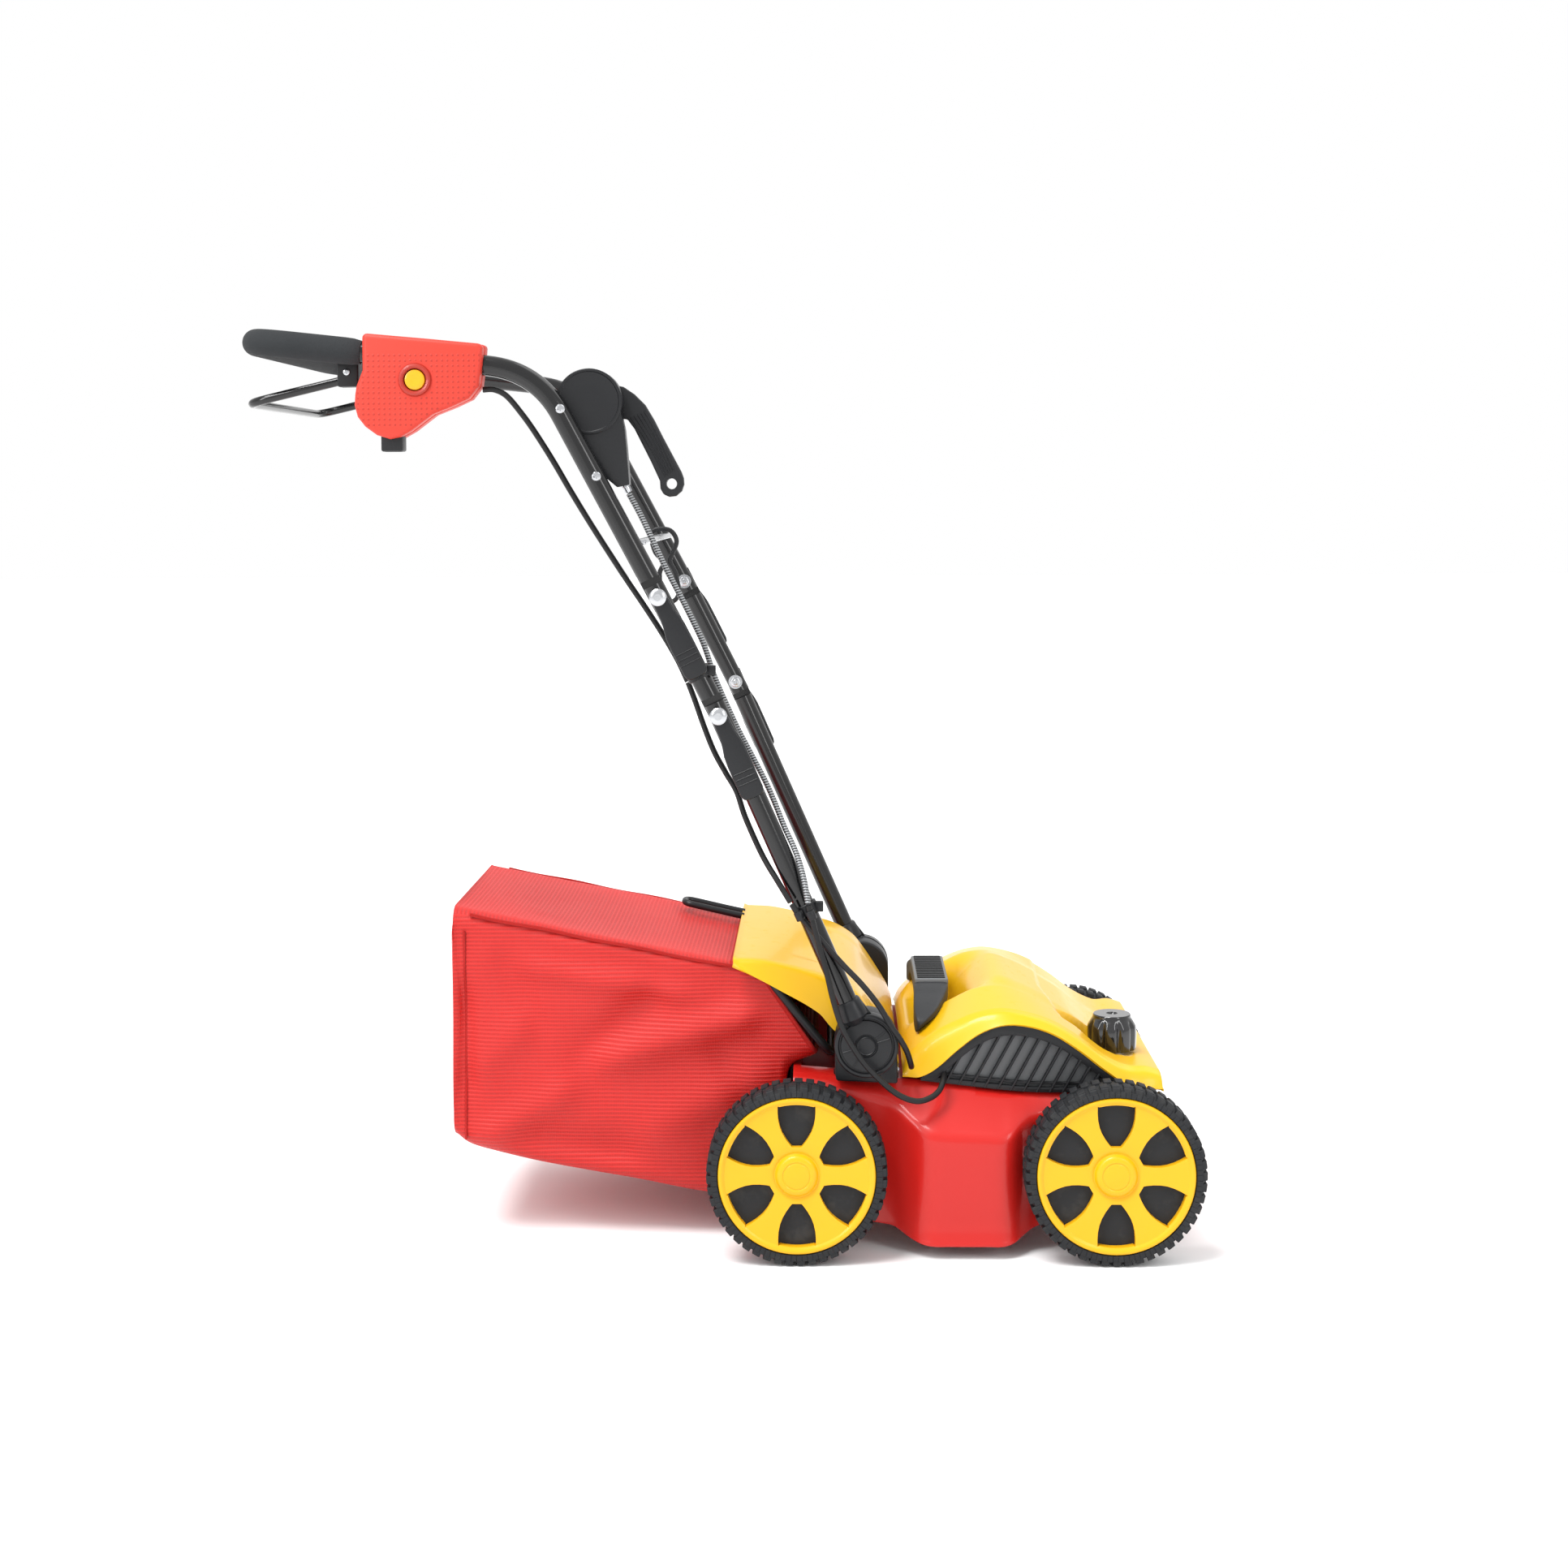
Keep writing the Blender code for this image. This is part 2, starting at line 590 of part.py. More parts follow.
def make_wheel(name, x, sign, parent):
    """A tyre on a black disc wheel, and its six-spoke cover."""
    outer = TRACK / 2
    inner = outer - WHEEL_WIDTH
    bore = AXLE_RADIUS + GAP
    profile = [(bore, inner + 0.010), (0.074, inner + 0.010), (0.080, inner),
               (WHEEL_RADIUS - 0.006, inner), (WHEEL_RADIUS, inner + 0.007),
               (WHEEL_RADIUS, outer - 0.007), (WHEEL_RADIUS - 0.006, outer),
               (RIM_RADIUS + GAP, outer), (RIM_RADIUS + GAP, outer - 0.012), (bore, outer - 0.012)]
    add("wheel_" + name, wheel_turned(profile, x, sign), parent, "tyre_plastic")
    back, front, hub = outer - 0.0105, outer - 0.0035, outer - 0.001
    profile = [(0, back), (RIM_RADIUS, back), (RIM_RADIUS, outer), (RIM_RADIUS - 0.007, front),
               (HUB_RADIUS + 0.003, front), (HUB_RADIUS, hub), (0, hub)]
    cover = add("wheel_cover_" + name, wheel_turned(profile, x, sign), parent, "yellow_plastic")
    bm = bmesh.new()
    for k in range(6):
        middle = math.tau * (k + 0.5) / 6
        outline = []
        for radius, half in ((0.0315, 0.10), (0.0345, 0.20), (0.052, 0.255), (0.0785, 0.275),
                             (0.0795, 0.0), (0.0785, -0.275), (0.052, -0.255), (0.0345, -0.20),
                             (0.0315, -0.10)):
            a = middle + half
            outline.append((x + radius * math.cos(a), WHEEL_RADIUS + radius * math.sin(a)))
        low, high = sorted((sign * (outer - 0.020), sign * (outer + 0.010)))
        part = prism(outline, low, high)
        bmesh.ops.recalc_face_normals(part, faces=part.faces)
        mesh = bpy.data.meshes.new("opening")
        part.to_mesh(mesh)
        part.free()
        bm.from_mesh(mesh)
        bpy.data.meshes.remove(mesh)
    boolean(cover, cutter("spoke_openings_" + name, bm, parent))


def make_pivot_brackets(root):
    for name, sign in SIDES:
        radius = PIVOT_RADIUS - 0.001
        arc = [(PIVOT_X + radius * math.cos(a), PIVOT_Z + radius * math.sin(a))
               for a in [math.pi * k / 10 for k in range(11)]]
        toe = min(PIVOT_X + radius, HOOD_ROWS[0][0] - GAP)
        base = [(PIVOT_X - radius, between(PIVOT_X - radius, DECK_TOP) + 0.0025),
                (toe, between(toe, DECK_TOP) + 0.0010)]
        low, high = sorted((sign * 0.1770, sign * (HANDLE_HALF - COVER_THICKNESS / 2 - GAP)))
        add("pivot_bracket_" + name, prism(arc + base, low, high), root, "black_plastic")


# ---------------------------------------------------------------- flap and bag
# top x, top z, skirt x, skirt z
FLAP_ROWS = (
    (-0.0720, 0.3225, -0.0720, 0.3160),
    (-0.0300, 0.3195, -0.0240, 0.2900),
    (0.0350, 0.3025, 0.0240, 0.2620),
    (0.0580, 0.2910, 0.0420, 0.2420),
    (0.0740, 0.2760, 0.0620, 0.2300),
    (0.1060, 0.2270, 0.0920, 0.2140),
    (0.1145, 0.2080, 0.1080, 0.2060),
)


def make_flap(root, flap):
    bm = bmesh.new()
    lines = []
    for x, z, skirt_x, skirt_z in FLAP_ROWS:
        right = [(skirt_x, -FLAP_HALF, skirt_z), (x, -FLAP_HALF + 0.003, z - 0.003),
                 (x, -FLAP_HALF + 0.012, z), (x, -0.06, z + 0.001)]
        lines.append([bm.verts.new(p) for p in right + [(x, -y, z) for x, y, z in reversed(right)]])
    for la, lb in zip(lines, lines[1:]):
        for k in range(len(la) - 1):
            bm.faces.new((la[k], la[k + 1], lb[k + 1], lb[k]))
    item = add("rear_flap", bm, flap, "yellow_plastic")
    if max(item.data.polygons, key=lambda f: f.center.z).normal.z < 0:
        item.data.flip_normals()
    solidify(item, FLAP_WALL)
    add("flap_pin", disc(FLAP_PIN[0], FLAP_PIN[1], 0.003, -0.176, 0.176, 10), root, "zinc")


def bag_top(x):
    """Height of the bag's flat top, which climbs towards its back."""
    return 0.3150 + 0.2 * (-0.07 - x)


def make_bag(bag):
    rear, top_front = BAG_REAR, -0.049
    outline = [(top_front, bag_top(top_front)), (rear + 0.014, bag_top(rear + 0.014)),
               (rear, bag_top(rear) - 0.014), (rear, 0.117), (rear + 0.030, 0.099), (rear + 0.056, 0.088),
               (-0.085, 0.043), (-0.030, 0.055), (-0.012, 0.100), (-0.012, 0.2045), (0.0255, 0.2045)]
    bm = prism(outline, -BAG_HALF, BAG_HALF)
    bm.faces.ensure_lookup_table()
    mouth = Vector((outline[0][0] + outline[-1][0], 0, outline[0][1] + outline[-1][1])) / 2
    face = min(bm.faces, key=lambda f: (f.calc_center_median() - mouth).length)
    bmesh.ops.recalc_face_normals(bm, faces=bm.faces)
    bmesh.ops.delete(bm, geom=[face], context="FACES_ONLY")
    item = add("bag_fabric", bm, bag, "red_fabric", smooth=False)
    if max(item.data.polygons, key=lambda f: f.center.z).normal.z < 0:
        item.data.flip_normals()
    solidify(item, BAG_WALL)
    half = BAG_HALF - 0.006
    top, low = (-0.0335, 0.2990), (0.0385, 0.2110)
    ring = [(top[0], half, top[1]), (top[0], -half, top[1]),
            (low[0], -half, low[1]), (low[0], half, low[1])]
    add("bag_frame", closed_bar(ring, BAG_FRAME_RADIUS, 0.020, 8), bag, "black_plastic")
    front, rear = (-0.082, bag_top(-0.082) + 0.0075), (-0.144, bag_top(-0.144) + 0.0095)
    foot = (front[0] + 0.003, front[1] - 0.004)
    near, far = BAG_GRIP_Y - BAG_GRIP_HALF, BAG_GRIP_Y + BAG_GRIP_HALF
    loop = [(x, near, z) for x, z in (foot, front, rear)] + [(x, far, z) for x, z in (rear, front, foot)]
    add("bag_handle", sweep(bent(loop, 0.004), BAG_GRIP_RADIUS, 8), bag, "black_plastic")


def closed_bar(corners, radius, bend, sides):
    """A round bar in a closed loop with rounded corners."""
    count = len(corners)
    path = []
    for i in range(count):
        before, corner, after = (Vector(corners[(i + d) % count]) for d in (-1, 0, 1))
        start = corner + (before - corner).normalized() * bend
        end = corner + (after - corner).normalized() * bend
        for k in range(4):
            t = k / 3
            path.append(start * (1 - t) ** 2 + corner * 2 * t * (1 - t) + end * t * t)
    normal = (Vector(corners[1]) - Vector(corners[0])).cross(Vector(corners[2]) - Vector(corners[1]))
    normal.normalize()
    bm = bmesh.new()
    rings = []
    for i, point in enumerate(path):
        along = (path[(i + 1) % len(path)] - path[i - 1]).normalized()
        out = along.cross(normal)
        rings.append([bm.verts.new(point + (normal * math.cos(a) + out * math.sin(a)) * radius)
                      for a in [math.tau * k / sides for k in range(sides)]])
    for ra, rb in zip(rings, rings[1:] + rings[:1]):
        for k in range(sides):
            n = (k + 1) % sides
            bm.faces.new((ra[k], ra[n], rb[n], rb[k]))
    return bm


# ---------------------------------------------------------------- handle
def direction(a, b):
    return (Vector((b[0], 0, b[1])) - Vector((a[0], 0, a[1]))).normalized()


def lap_cut(name, clamp, along, keep_outer, sign, parent):
    """A block that takes half of a tube's end away, up to one tip length past the clamp."""
    side = Vector((along.z, 0, -along.x))
    start, end = -LAP_TIP - 0.030, LAP_LENGTH - LAP_TIP + 0.006
    corners = [(start, -0.02), (end, -0.02), (end, 0.02), (start, 0.02)]
    outline = [(clamp[0] + along.x * u + side.x * v, clamp[1] + along.z * u + side.z * v)
               for u, v in corners]
    if keep_outer:
        low, high = sorted((sign * (HANDLE_HALF - 0.02), sign * (HANDLE_HALF + GAP / 2)))
    else:
        low, high = sorted((sign * (HANDLE_HALF - GAP / 2), sign * (HANDLE_HALF + 0.02)))
    return cutter(name, prism(outline, low, high), parent)


def make_tube(name, low_end, high_end, sign, parent):
    y = sign * HANDLE_HALF
    points = [(low_end[0], y, low_end[1]), (high_end[0], y, high_end[1])]
    return add(name, sweep(points, TUBE_RADIUS, 12, TUBE_RADIUS - TUBE_WALL), parent, "black_paint")


def add_bolt(tube, clamp, sign, name, parent):
    low, high = sorted((sign * (HANDLE_HALF - TUBE_RADIUS), sign * (HANDLE_HALF + TUBE_RADIUS + 0.001)))
    bolt = cutter(name, disc(clamp[0], clamp[1], BOLT_RADIUS, low, high, 10), parent)
    boolean(tube, bolt, "UNION")


def bolt_hole(tube, clamp, sign, name, parent):
    low, high = sorted((sign * (HANDLE_HALF - 0.03), sign * (HANDLE_HALF + 0.03)))
    hole = cutter(name, disc(clamp[0], clamp[1], BOLT_RADIUS + 0.0005, low, high, 10), parent)
    boolean(tube, hole)


def make_lower_handle(lower):
    along = direction((PIVOT_X, PIVOT_Z), LOWER_CLAMP)
    foot = (PIVOT_X + along.x * (PIVOT_RADIUS + 0.004), PIVOT_Z + along.z * (PIVOT_RADIUS + 0.004))
    tip = (LOWER_CLAMP[0] + along.x * LAP_TIP, LOWER_CLAMP[1] + along.z * LAP_TIP)
    for name, sign in SIDES:
        tube = make_tube("lower_tube_" + name, foot, tip, sign, lower)
        boolean(tube, lap_cut("lower_lap_" + name, LOWER_CLAMP, -along, True, sign, lower))
        add_bolt(tube, LOWER_CLAMP, sign, "lower_bolt_" + name, lower)
        make_pivot_cover(name, sign, along, lower)
    clip_at = (PIVOT_X + along.x * 0.166, PIVOT_Z + along.z * 0.166)
    add_clip("cable_clip_lower", clip_at, along, lower)


def make_pivot_cover(name, sign, along, lower):
    """The round cover that turns on its bracket, with the cone that takes the tube."""
    low = HANDLE_HALF - COVER_THICKNESS / 2
    high = HANDLE_HALF + COVER_THICKNESS / 2
    inset = high - 0.003
    profile = [(0, low), (PIVOT_RADIUS - 0.001, low), (PIVOT_RADIUS, low + 0.001),
               (PIVOT_RADIUS, high - 0.002), (PIVOT_RADIUS - 0.002, high), (PIVOT_RADIUS - 0.005, high),
               (PIVOT_RADIUS - 0.006, inset), (0.012, inset), (0.011, high), (0, high)]
    profile = [(radius, sign * y) for radius, y in profile]
    cover = add("pivot_cover_" + name, turned(profile, PIVOT_X, PIVOT_Z, 20), lower, "black_plastic")
    middle = Vector((PIVOT_X, sign * HANDLE_HALF, PIVOT_Z))
    spine = Vector((along.x, 0, along.z))
    bm = bmesh.new()
    length, start = 0.034, 0.020
    turn = spine.to_track_quat("Z", "Y").to_matrix().to_4x4()
    bmesh.ops.create_cone(bm, cap_ends=True, segments=12, radius1=0.0175, radius2=0.0142, depth=length,
                          matrix=Matrix.Translation(middle + spine * (start + length / 2)) @ turn)
    boolean(cover, cutter("socket_" + name, bm, lower), "UNION")
    clear = sorted((sign * 0.180, sign * (low - 0.0001)))
    room = disc(PIVOT_X, PIVOT_Z, PIVOT_RADIUS + 0.001, *clear, 20)
    boolean(cover, cutter("bracket_room_" + name, room, lower))
    hole = sweep([middle + spine * (PIVOT_RADIUS + 0.004 - GAP), middle + spine * 0.10],
                 TUBE_RADIUS + GAP, 12)
    boolean(cover, cutter("socket_bore_" + name, hole, lower))


def add_clip(name, at, along, parent):
    """A band round the right-hand tube that the cables lie against."""
    spine = Vector((along.x, 0, along.z))
    middle = Vector((at[0], -HANDLE_HALF, at[1]))
    add(name, sweep([middle - spine * 0.007, middle + spine * 0.007], TUBE_RADIUS + 0.0020, 12,
                    TUBE_RADIUS + GAP), parent, "black_plastic")


def make_middle_handle(middle):
    along = direction(LOWER_CLAMP, UPPER_CLAMP)
    low_tip = (LOWER_CLAMP[0] - along.x * LAP_TIP, LOWER_CLAMP[1] - along.z * LAP_TIP)
    high_tip = (UPPER_CLAMP[0] + along.x * LAP_TIP, UPPER_CLAMP[1] + along.z * LAP_TIP)
    for name, sign in SIDES:
        tube = make_tube("middle_tube_" + name, low_tip, high_tip, sign, middle)
        boolean(tube, lap_cut("middle_low_lap_" + name, LOWER_CLAMP, along, False, sign, middle))
        boolean(tube, lap_cut("middle_high_lap_" + name, UPPER_CLAMP, -along, True, sign, middle))
        bolt_hole(tube, LOWER_CLAMP, sign, "middle_hole_" + name, middle)
        add_bolt(tube, UPPER_CLAMP, sign, "upper_bolt_" + name, middle)
    clip_at = (UPPER_CLAMP[0] - along.x * 0.095, UPPER_CLAMP[1] - along.z * 0.095)
    add_clip("cable_clip_middle", clip_at, along, middle)


def make_upper_handle(upper):
    """The loop: two legs from the clamps, bent back to the grip, and the bar between them."""
    along = direction(UPPER_CLAMP, HANDLE_LINE)
    low_tip = (UPPER_CLAMP[0] - along.x * LAP_TIP, UPPER_CLAMP[1] - along.z * LAP_TIP)
    y = HANDLE_HALF
    corners = [(low_tip[0], -y, low_tip[1]), (BEND[0], -y, BEND[1]), (GRIP_X, -y, GRIP_Z),
               (GRIP_X, y, GRIP_Z), (BEND[0], y, BEND[1]), (low_tip[0], y, low_tip[1])]
    path = bent(corners, BEND_RADIUS, 3)
    loop = add("upper_handle", sweep(path, TUBE_RADIUS, 10, TUBE_RADIUS - TUBE_WALL), upper, "black_paint")
    for name, sign in SIDES:
        boolean(loop, lap_cut("upper_lap_" + name, UPPER_CLAMP, along, False, sign, upper))
        bolt_hole(loop, UPPER_CLAMP, sign, "upper_hole_" + name, upper)
    rear = [p for p in path if p.x < GRIP_START_X]
    slope = (Vector(corners[1]) - Vector(corners[2])).normalized()
    start = Vector(corners[2]) + slope * ((GRIP_START_X - GRIP_X) / slope.x)
    mirrored = Vector((start.x, -start.y, start.z))
    route = [start] + rear + [mirrored]
    add("foam_grip", sweep(route, GRIP_RADIUS, 10, TUBE_RADIUS + 0.0008), upper, "foam")
    return slope, Vector(corners[2])


def make_controls(upper, lift, bail, button, slope, corner):
    outline = [(-0.4710, 1.0255), (-0.339, 1.0130), (-0.344, 0.9670), (-0.3547, 0.9535),
               (-0.3946, 0.9365), (-0.4183, 0.9186), (-0.4419, 0.9097), (-0.4688, 0.9234),
               (-0.4803, 0.9468), (-0.4780, 0.9674), (-0.4710, 0.9850)]
    switch = add("switch_box", prism(outline, -BOX_OUTER, -BOX_INNER), upper, "box_plastic")
    bore = sweep([corner + slope * 0.08, corner + slope * 0.30], TUBE_RADIUS + 0.0008, 12)
    boolean(switch, cutter("leg_bore", bore, upper))
    pocket = disc(BUTTON[0], BUTTON[1], BUTTON_RADIUS + 0.0006, -BOX_OUTER - 0.01, -BOX_OUTER + 0.0095)
    boolean(switch, cutter("button_pocket", pocket, upper))
    cap = disc(BUTTON[0], BUTTON[1], BUTTON_RADIUS, -BOX_OUTER - 0.0015, -BOX_OUTER + 0.0045)
    add("start_button", cap, button, "button_plastic")
    inlet = box(-0.4530, -0.4290, -0.2300, -0.2070, 0.8960, 0.9250)
    boolean(switch, cutter("mains_inlet", inlet, upper), "UNION")
    make_lever_housing(upper)
    make_lift_lever(lift)
    bar = [(BAIL_PIVOT[0], -BAIL_HALF, BAIL_PIVOT[1]), (BAIL_BAR[0], -BAIL_HALF, BAIL_BAR[1]),
           (BAIL_BAR[0], BAIL_HALF, BAIL_BAR[1]), (BAIL_PIVOT[0], BAIL_HALF, BAIL_PIVOT[1])]
    add("bail", sweep(bent(bar, 0.022), BAIL_RADIUS, 8), bail, "black_paint")
    inner, outer = BAIL_HALF + BAIL_RADIUS + 0.001, HANDLE_HALF - GRIP_RADIUS - 0.0005
    for name, sign in SIDES:
        low, high = sorted((sign * inner, sign * outer))
        add("bail_bracket_" + name, box(-0.508, -0.4825, low, high, 0.968, 1.018), upper,
            "black_plastic", smooth=False)
    bar_x, bar_z = -0.172, 0.795
    reach = HANDLE_HALF - TUBE_RADIUS - GAP
    add("crossbar", box(bar_x - 0.007, bar_x + 0.007, -reach, reach, bar_z - 0.003, bar_z + 0.003), upper,
        "zinc", smooth=False)
    top, low = bar_z + 0.009, bar_z - 0.080
    ring = [(bar_x - 0.013, 0.095, top), (bar_x + 0.017, 0.095, top), (bar_x + 0.022, 0.095, low),
            (bar_x - 0.002, 0.095, low)]
    add("cord_hook", closed_bar(ring, 0.003, 0.010, 6), upper, "black_plastic")


def make_lever_housing(upper):
    x, z = HOUSING
    arc = [(x + HOUSING_RADIUS * math.cos(a), z + HOUSING_RADIUS * math.sin(a))
           for a in [math.radians(-15 + 22.5 * k) for k in range(10)]]
    outline = arc + [(-0.237, 0.878), (-0.222, 0.8765), (-0.196, 0.855), (-0.182, 0.858), (-0.186, 0.905)]
    outer = HANDLE_HALF - TUBE_RADIUS - GAP
    add("lever_housing", prism(outline, -outer, -outer + 0.026), upper, "black_plastic")


def make_lift_lever(lift):
    x, z = HOUSING
    near = -(HANDLE_HALF - TUBE_RADIUS - GAP) + 0.0263
    outline = [(x - 0.020, z + 0.004), (x - 0.014, z + 0.016), (x, z + 0.021), (x + 0.036, z + 0.017),
               (x + 0.060, z - 0.003), (x + 0.080, z - 0.040), (x + 0.100, z - 0.078),
               (x + 0.103, z - 0.092), (x + 0.094, z - 0.105), (x + 0.080, z - 0.103),
               (x + 0.076, z - 0.088), (x + 0.056, z - 0.046), (x + 0.040, z - 0.018),
               (x + 0.010, z - 0.018), (x - 0.014, z - 0.014)]
    lever = add("lift_lever", prism(outline, near, near + 0.014), lift, "black_plastic")
    hole = disc(x + 0.089, z - 0.091, 0.006, near - 0.01, near + 0.03, 12)
    boolean(lever, cutter("lever_eye", hole, lift))


def make_quick_lever(name, clamp, along, sign, parent):
    """A clamp lever that lies along its tube and swings outward on a pin near its head."""
    side = Vector((along.z, 0, -along.x))
    points = [(-0.0045, -0.008), (0.016, -0.010), (0.030, -0.0135), (0.094, -0.0135), (0.098, 0.0),
              (0.094, 0.0135), (0.044, 0.0135), (0.022, 0.009), (-0.0045, 0.008)]
    outline = [(clamp[0] + along.x * u + side.x * v, clamp[1] + along.z * u + side.z * v)
               for u, v in points]
    low, high = sorted((sign * 0.2325, sign * 0.2425))
    add("quick_lever_" + name, prism(outline, low, high), parent, "black_plastic", smooth=False)


def make_depth_knob(knob):
    lobes = []
    for k in range(20):
        radius = KNOB_RADIUS * (1.0 if k % 2 else 0.93)
        lobes.append((radius, math.tau * k / 20))
    bm = bmesh.new()
    top = KNOB_Z + KNOB_HEIGHT
    rings = []
    for z, scale in ((KNOB_Z, 1.0), (top - 0.009, 0.97), (top - 0.002, 0.74), (top, 0.66)):
        rings.append([bm.verts.new((KNOB_X + r * scale * math.cos(a), KNOB_Y + r * scale * math.sin(a), z))
                      for r, a in lobes])
    for ra, rb in zip(rings, rings[1:]):
        for k in range(len(ra)):
            n = (k + 1) % len(ra)
            bm.faces.new((ra[k], ra[n], rb[n], rb[k]))
    bm.faces.new(rings[0])
    bm.faces.new(rings[-1])
    item = add("depth_knob", bm, knob, "gloss_black")
    stem = turned([(0, 0.177), (0.006, 0.177), (0.006, KNOB_Z + 0.002), (0, KNOB_Z + 0.002)],
                  KNOB_X, 0.0, 12, "Z", KNOB_Y)
    boolean(item, cutter("knob_stem", stem, knob), "UNION")


# ---------------------------------------------------------------- cables along the right-hand tube
POWER_UPPER = ((-0.3425, -0.2140, 0.9640), (-0.330, -0.214, 0.9640), (-0.317, -0.209, 0.957),
               (-0.302, -0.200, 0.938), (-0.288, -0.199, 0.918), (-0.268, -0.199, 0.886),
               (-0.249, -0.199, 0.853), (-0.228, -0.199, 0.818), (-0.206, -0.199, 0.783),
               (-0.186, -0.199, 0.752), (-0.166, -0.199, 0.722), (-0.147, -0.198, 0.692),
               (-0.131, -0.198, 0.664), (-0.120, -0.198, 0.640))
POWER_MIDDLE = ((-0.1195, -0.198, 0.6390), (-0.111, -0.198, 0.616), (-0.102, -0.199, 0.590),
                (-0.091, -0.199, 0.562), (-0.078, -0.200, 0.538), (-0.066, -0.202, 0.5175),
                (-0.057, -0.204, 0.4905), (-0.0425, -0.210, 0.4580), (-0.0325, -0.216, 0.4395),
                (-0.0215, -0.2245, 0.4230), (-0.0060, -0.2337, 0.3990))
POWER_LOWER = ((-0.0046, -0.2338, 0.3968), (0.004, -0.2338, 0.384), (0.018, -0.2338, 0.368),
               (0.036, -0.2338, 0.347), (0.054, -0.2338, 0.327), (0.073, -0.2338, 0.307),
               (0.091, -0.2338, 0.284), (0.104, -0.234, 0.262),
               (PIVOT_FRONT + 0.001, -0.232, 0.247), (PIVOT_FRONT + 0.009, -0.225, 0.231),
               (PIVOT_FRONT + 0.014, -0.213, 0.213), (0.128, -0.1945, 0.2060))
LIFT_UPPER = ((-0.1845, -0.1925, 0.8490), (-0.172, -0.193, 0.826), (-0.159, -0.195, 0.799),
              (-0.144, -0.197, 0.767), (-0.128, -0.198, 0.736), (-0.115, -0.199, 0.710),
              (-0.102, -0.200, 0.682), (-0.0935, -0.200, 0.656))
LIFT_MIDDLE = ((-0.0933, -0.200, 0.6550), (-0.086, -0.200, 0.636), (-0.0758, -0.200, 0.6125),
               (-0.0633, -0.200, 0.5853), (-0.048, -0.200, 0.556), (-0.0328, -0.203, 0.5267),
               (-0.023, -0.206, 0.5044), (-0.013, -0.212, 0.4799), (0.0, -0.220, 0.4522),
               (0.0085, -0.2315, 0.4260), (0.0135, -0.2405, 0.3990))
LIFT_LOWER = ((0.0140, -0.2411, 0.3965), (0.022, -0.2412, 0.365), (0.033, -0.2412, 0.325),
              (0.041, -0.2412, 0.291), (0.050, -0.242, 0.263), (0.063, -0.242, 0.239),
              (0.077, -0.241, 0.219), (0.097, -0.239, 0.198), (0.115, -0.236, 0.184),
              (0.133, -0.231, 0.177), (0.148, -0.221, 0.178), (0.158, -0.211, 0.183),
              (0.163, -0.200, 0.190), (0.1655, -0.1858, 0.1960))


def build():
    clear_scene()
    machine = body("machine", None, 0, 0, 0)
    machine.location = (ORIGIN_SHIFT, 0, 0)
    drive = body("motor_pulley", machine, MOTOR_X, BELT_Y, MOTOR_Z)
    rotor = body("rotor", machine, ROTOR_X, 0, ROTOR_Z)
    carrier = body("front_carrier", machine, CARRIER_X, 0, CARRIER_Z)
    flap = body("flap", machine, FLAP_PIN[0], 0, FLAP_PIN[1])
    bag = body("bag", machine, BAG_REAR, 0, bag_top(BAG_REAR))
    knob = body("knob", machine, KNOB_X, KNOB_Y, KNOB_Z)
    lower = body("lower_handle", machine, PIVOT_X, 0, PIVOT_Z)
    middle = body("middle_handle", lower, LOWER_CLAMP[0], 0, LOWER_CLAMP[1])
    upper = body("upper_handle", middle, UPPER_CLAMP[0], 0, UPPER_CLAMP[1])
    lift = body("lift_lever", upper, HOUSING[0], 0, HOUSING[1])
    bail = body("bail", upper, BAIL_PIVOT[0], 0, BAIL_PIVOT[1])
    button = body("start_button", upper, BUTTON[0], -BOX_OUTER, BUTTON[1])

    make_deck(machine)
    make_hood(machine)
    make_grilles(machine)
    make_carry_handle(machine)
    make_drive(machine, drive, rotor)
    make_axles(machine, carrier)
    make_pivot_brackets(machine)
    for end, x, parent in (("front", WHEELBASE, carrier), ("rear", 0.0, machine)):
        for name, sign in SIDES:
            label = end + "_" + name
            hub = body("wheel_" + label, parent, x, sign * TRACK / 2, WHEEL_RADIUS)
            make_wheel(label, x, sign, hub)
    make_flap(machine, flap)
    make_bag(bag)
    make_depth_knob(knob)
    make_lower_handle(lower)
    make_middle_handle(middle)
    slope, corner = make_upper_handle(upper)
    make_controls(upper, lift, bail, button, slope, corner)
    down_lower = -direction((PIVOT_X, PIVOT_Z), LOWER_CLAMP)
    down_middle = -direction(LOWER_CLAMP, UPPER_CLAMP)
    for name, sign in SIDES:
        for level, clamp, along, parent in (("lower", LOWER_CLAMP, down_lower, lower),
                                            ("upper", UPPER_CLAMP, down_middle, middle)):
            label = level + "_" + name
            pin = body("quick_lever_" + label, parent, clamp[0], sign * 0.2375, clamp[1])
            make_quick_lever(label, clamp, along, sign, pin)
    for name, points, parent in (("power_cable_upper", POWER_UPPER, upper),
                                 ("power_cable_middle", POWER_MIDDLE, middle),
                                 ("power_cable_lower", POWER_LOWER, lower),
                                 ("lift_cable_upper", LIFT_UPPER, upper),
                                 ("lift_cable_middle", LIFT_MIDDLE, middle),
                                 ("lift_cable_lower", LIFT_LOWER, lower)):
        cable(name, points, parent)


build()
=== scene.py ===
"""Looks of a walk-behind lawn scarifier with a catcher bag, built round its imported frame.

Lengths are metres. Pieces are drawn in the machine's own frame, which is measured from the
rear axle along X, and are shifted by SHIFT into the row frame when they are finished.
"""
import math

import bpy
from mathutils import Matrix, Vector


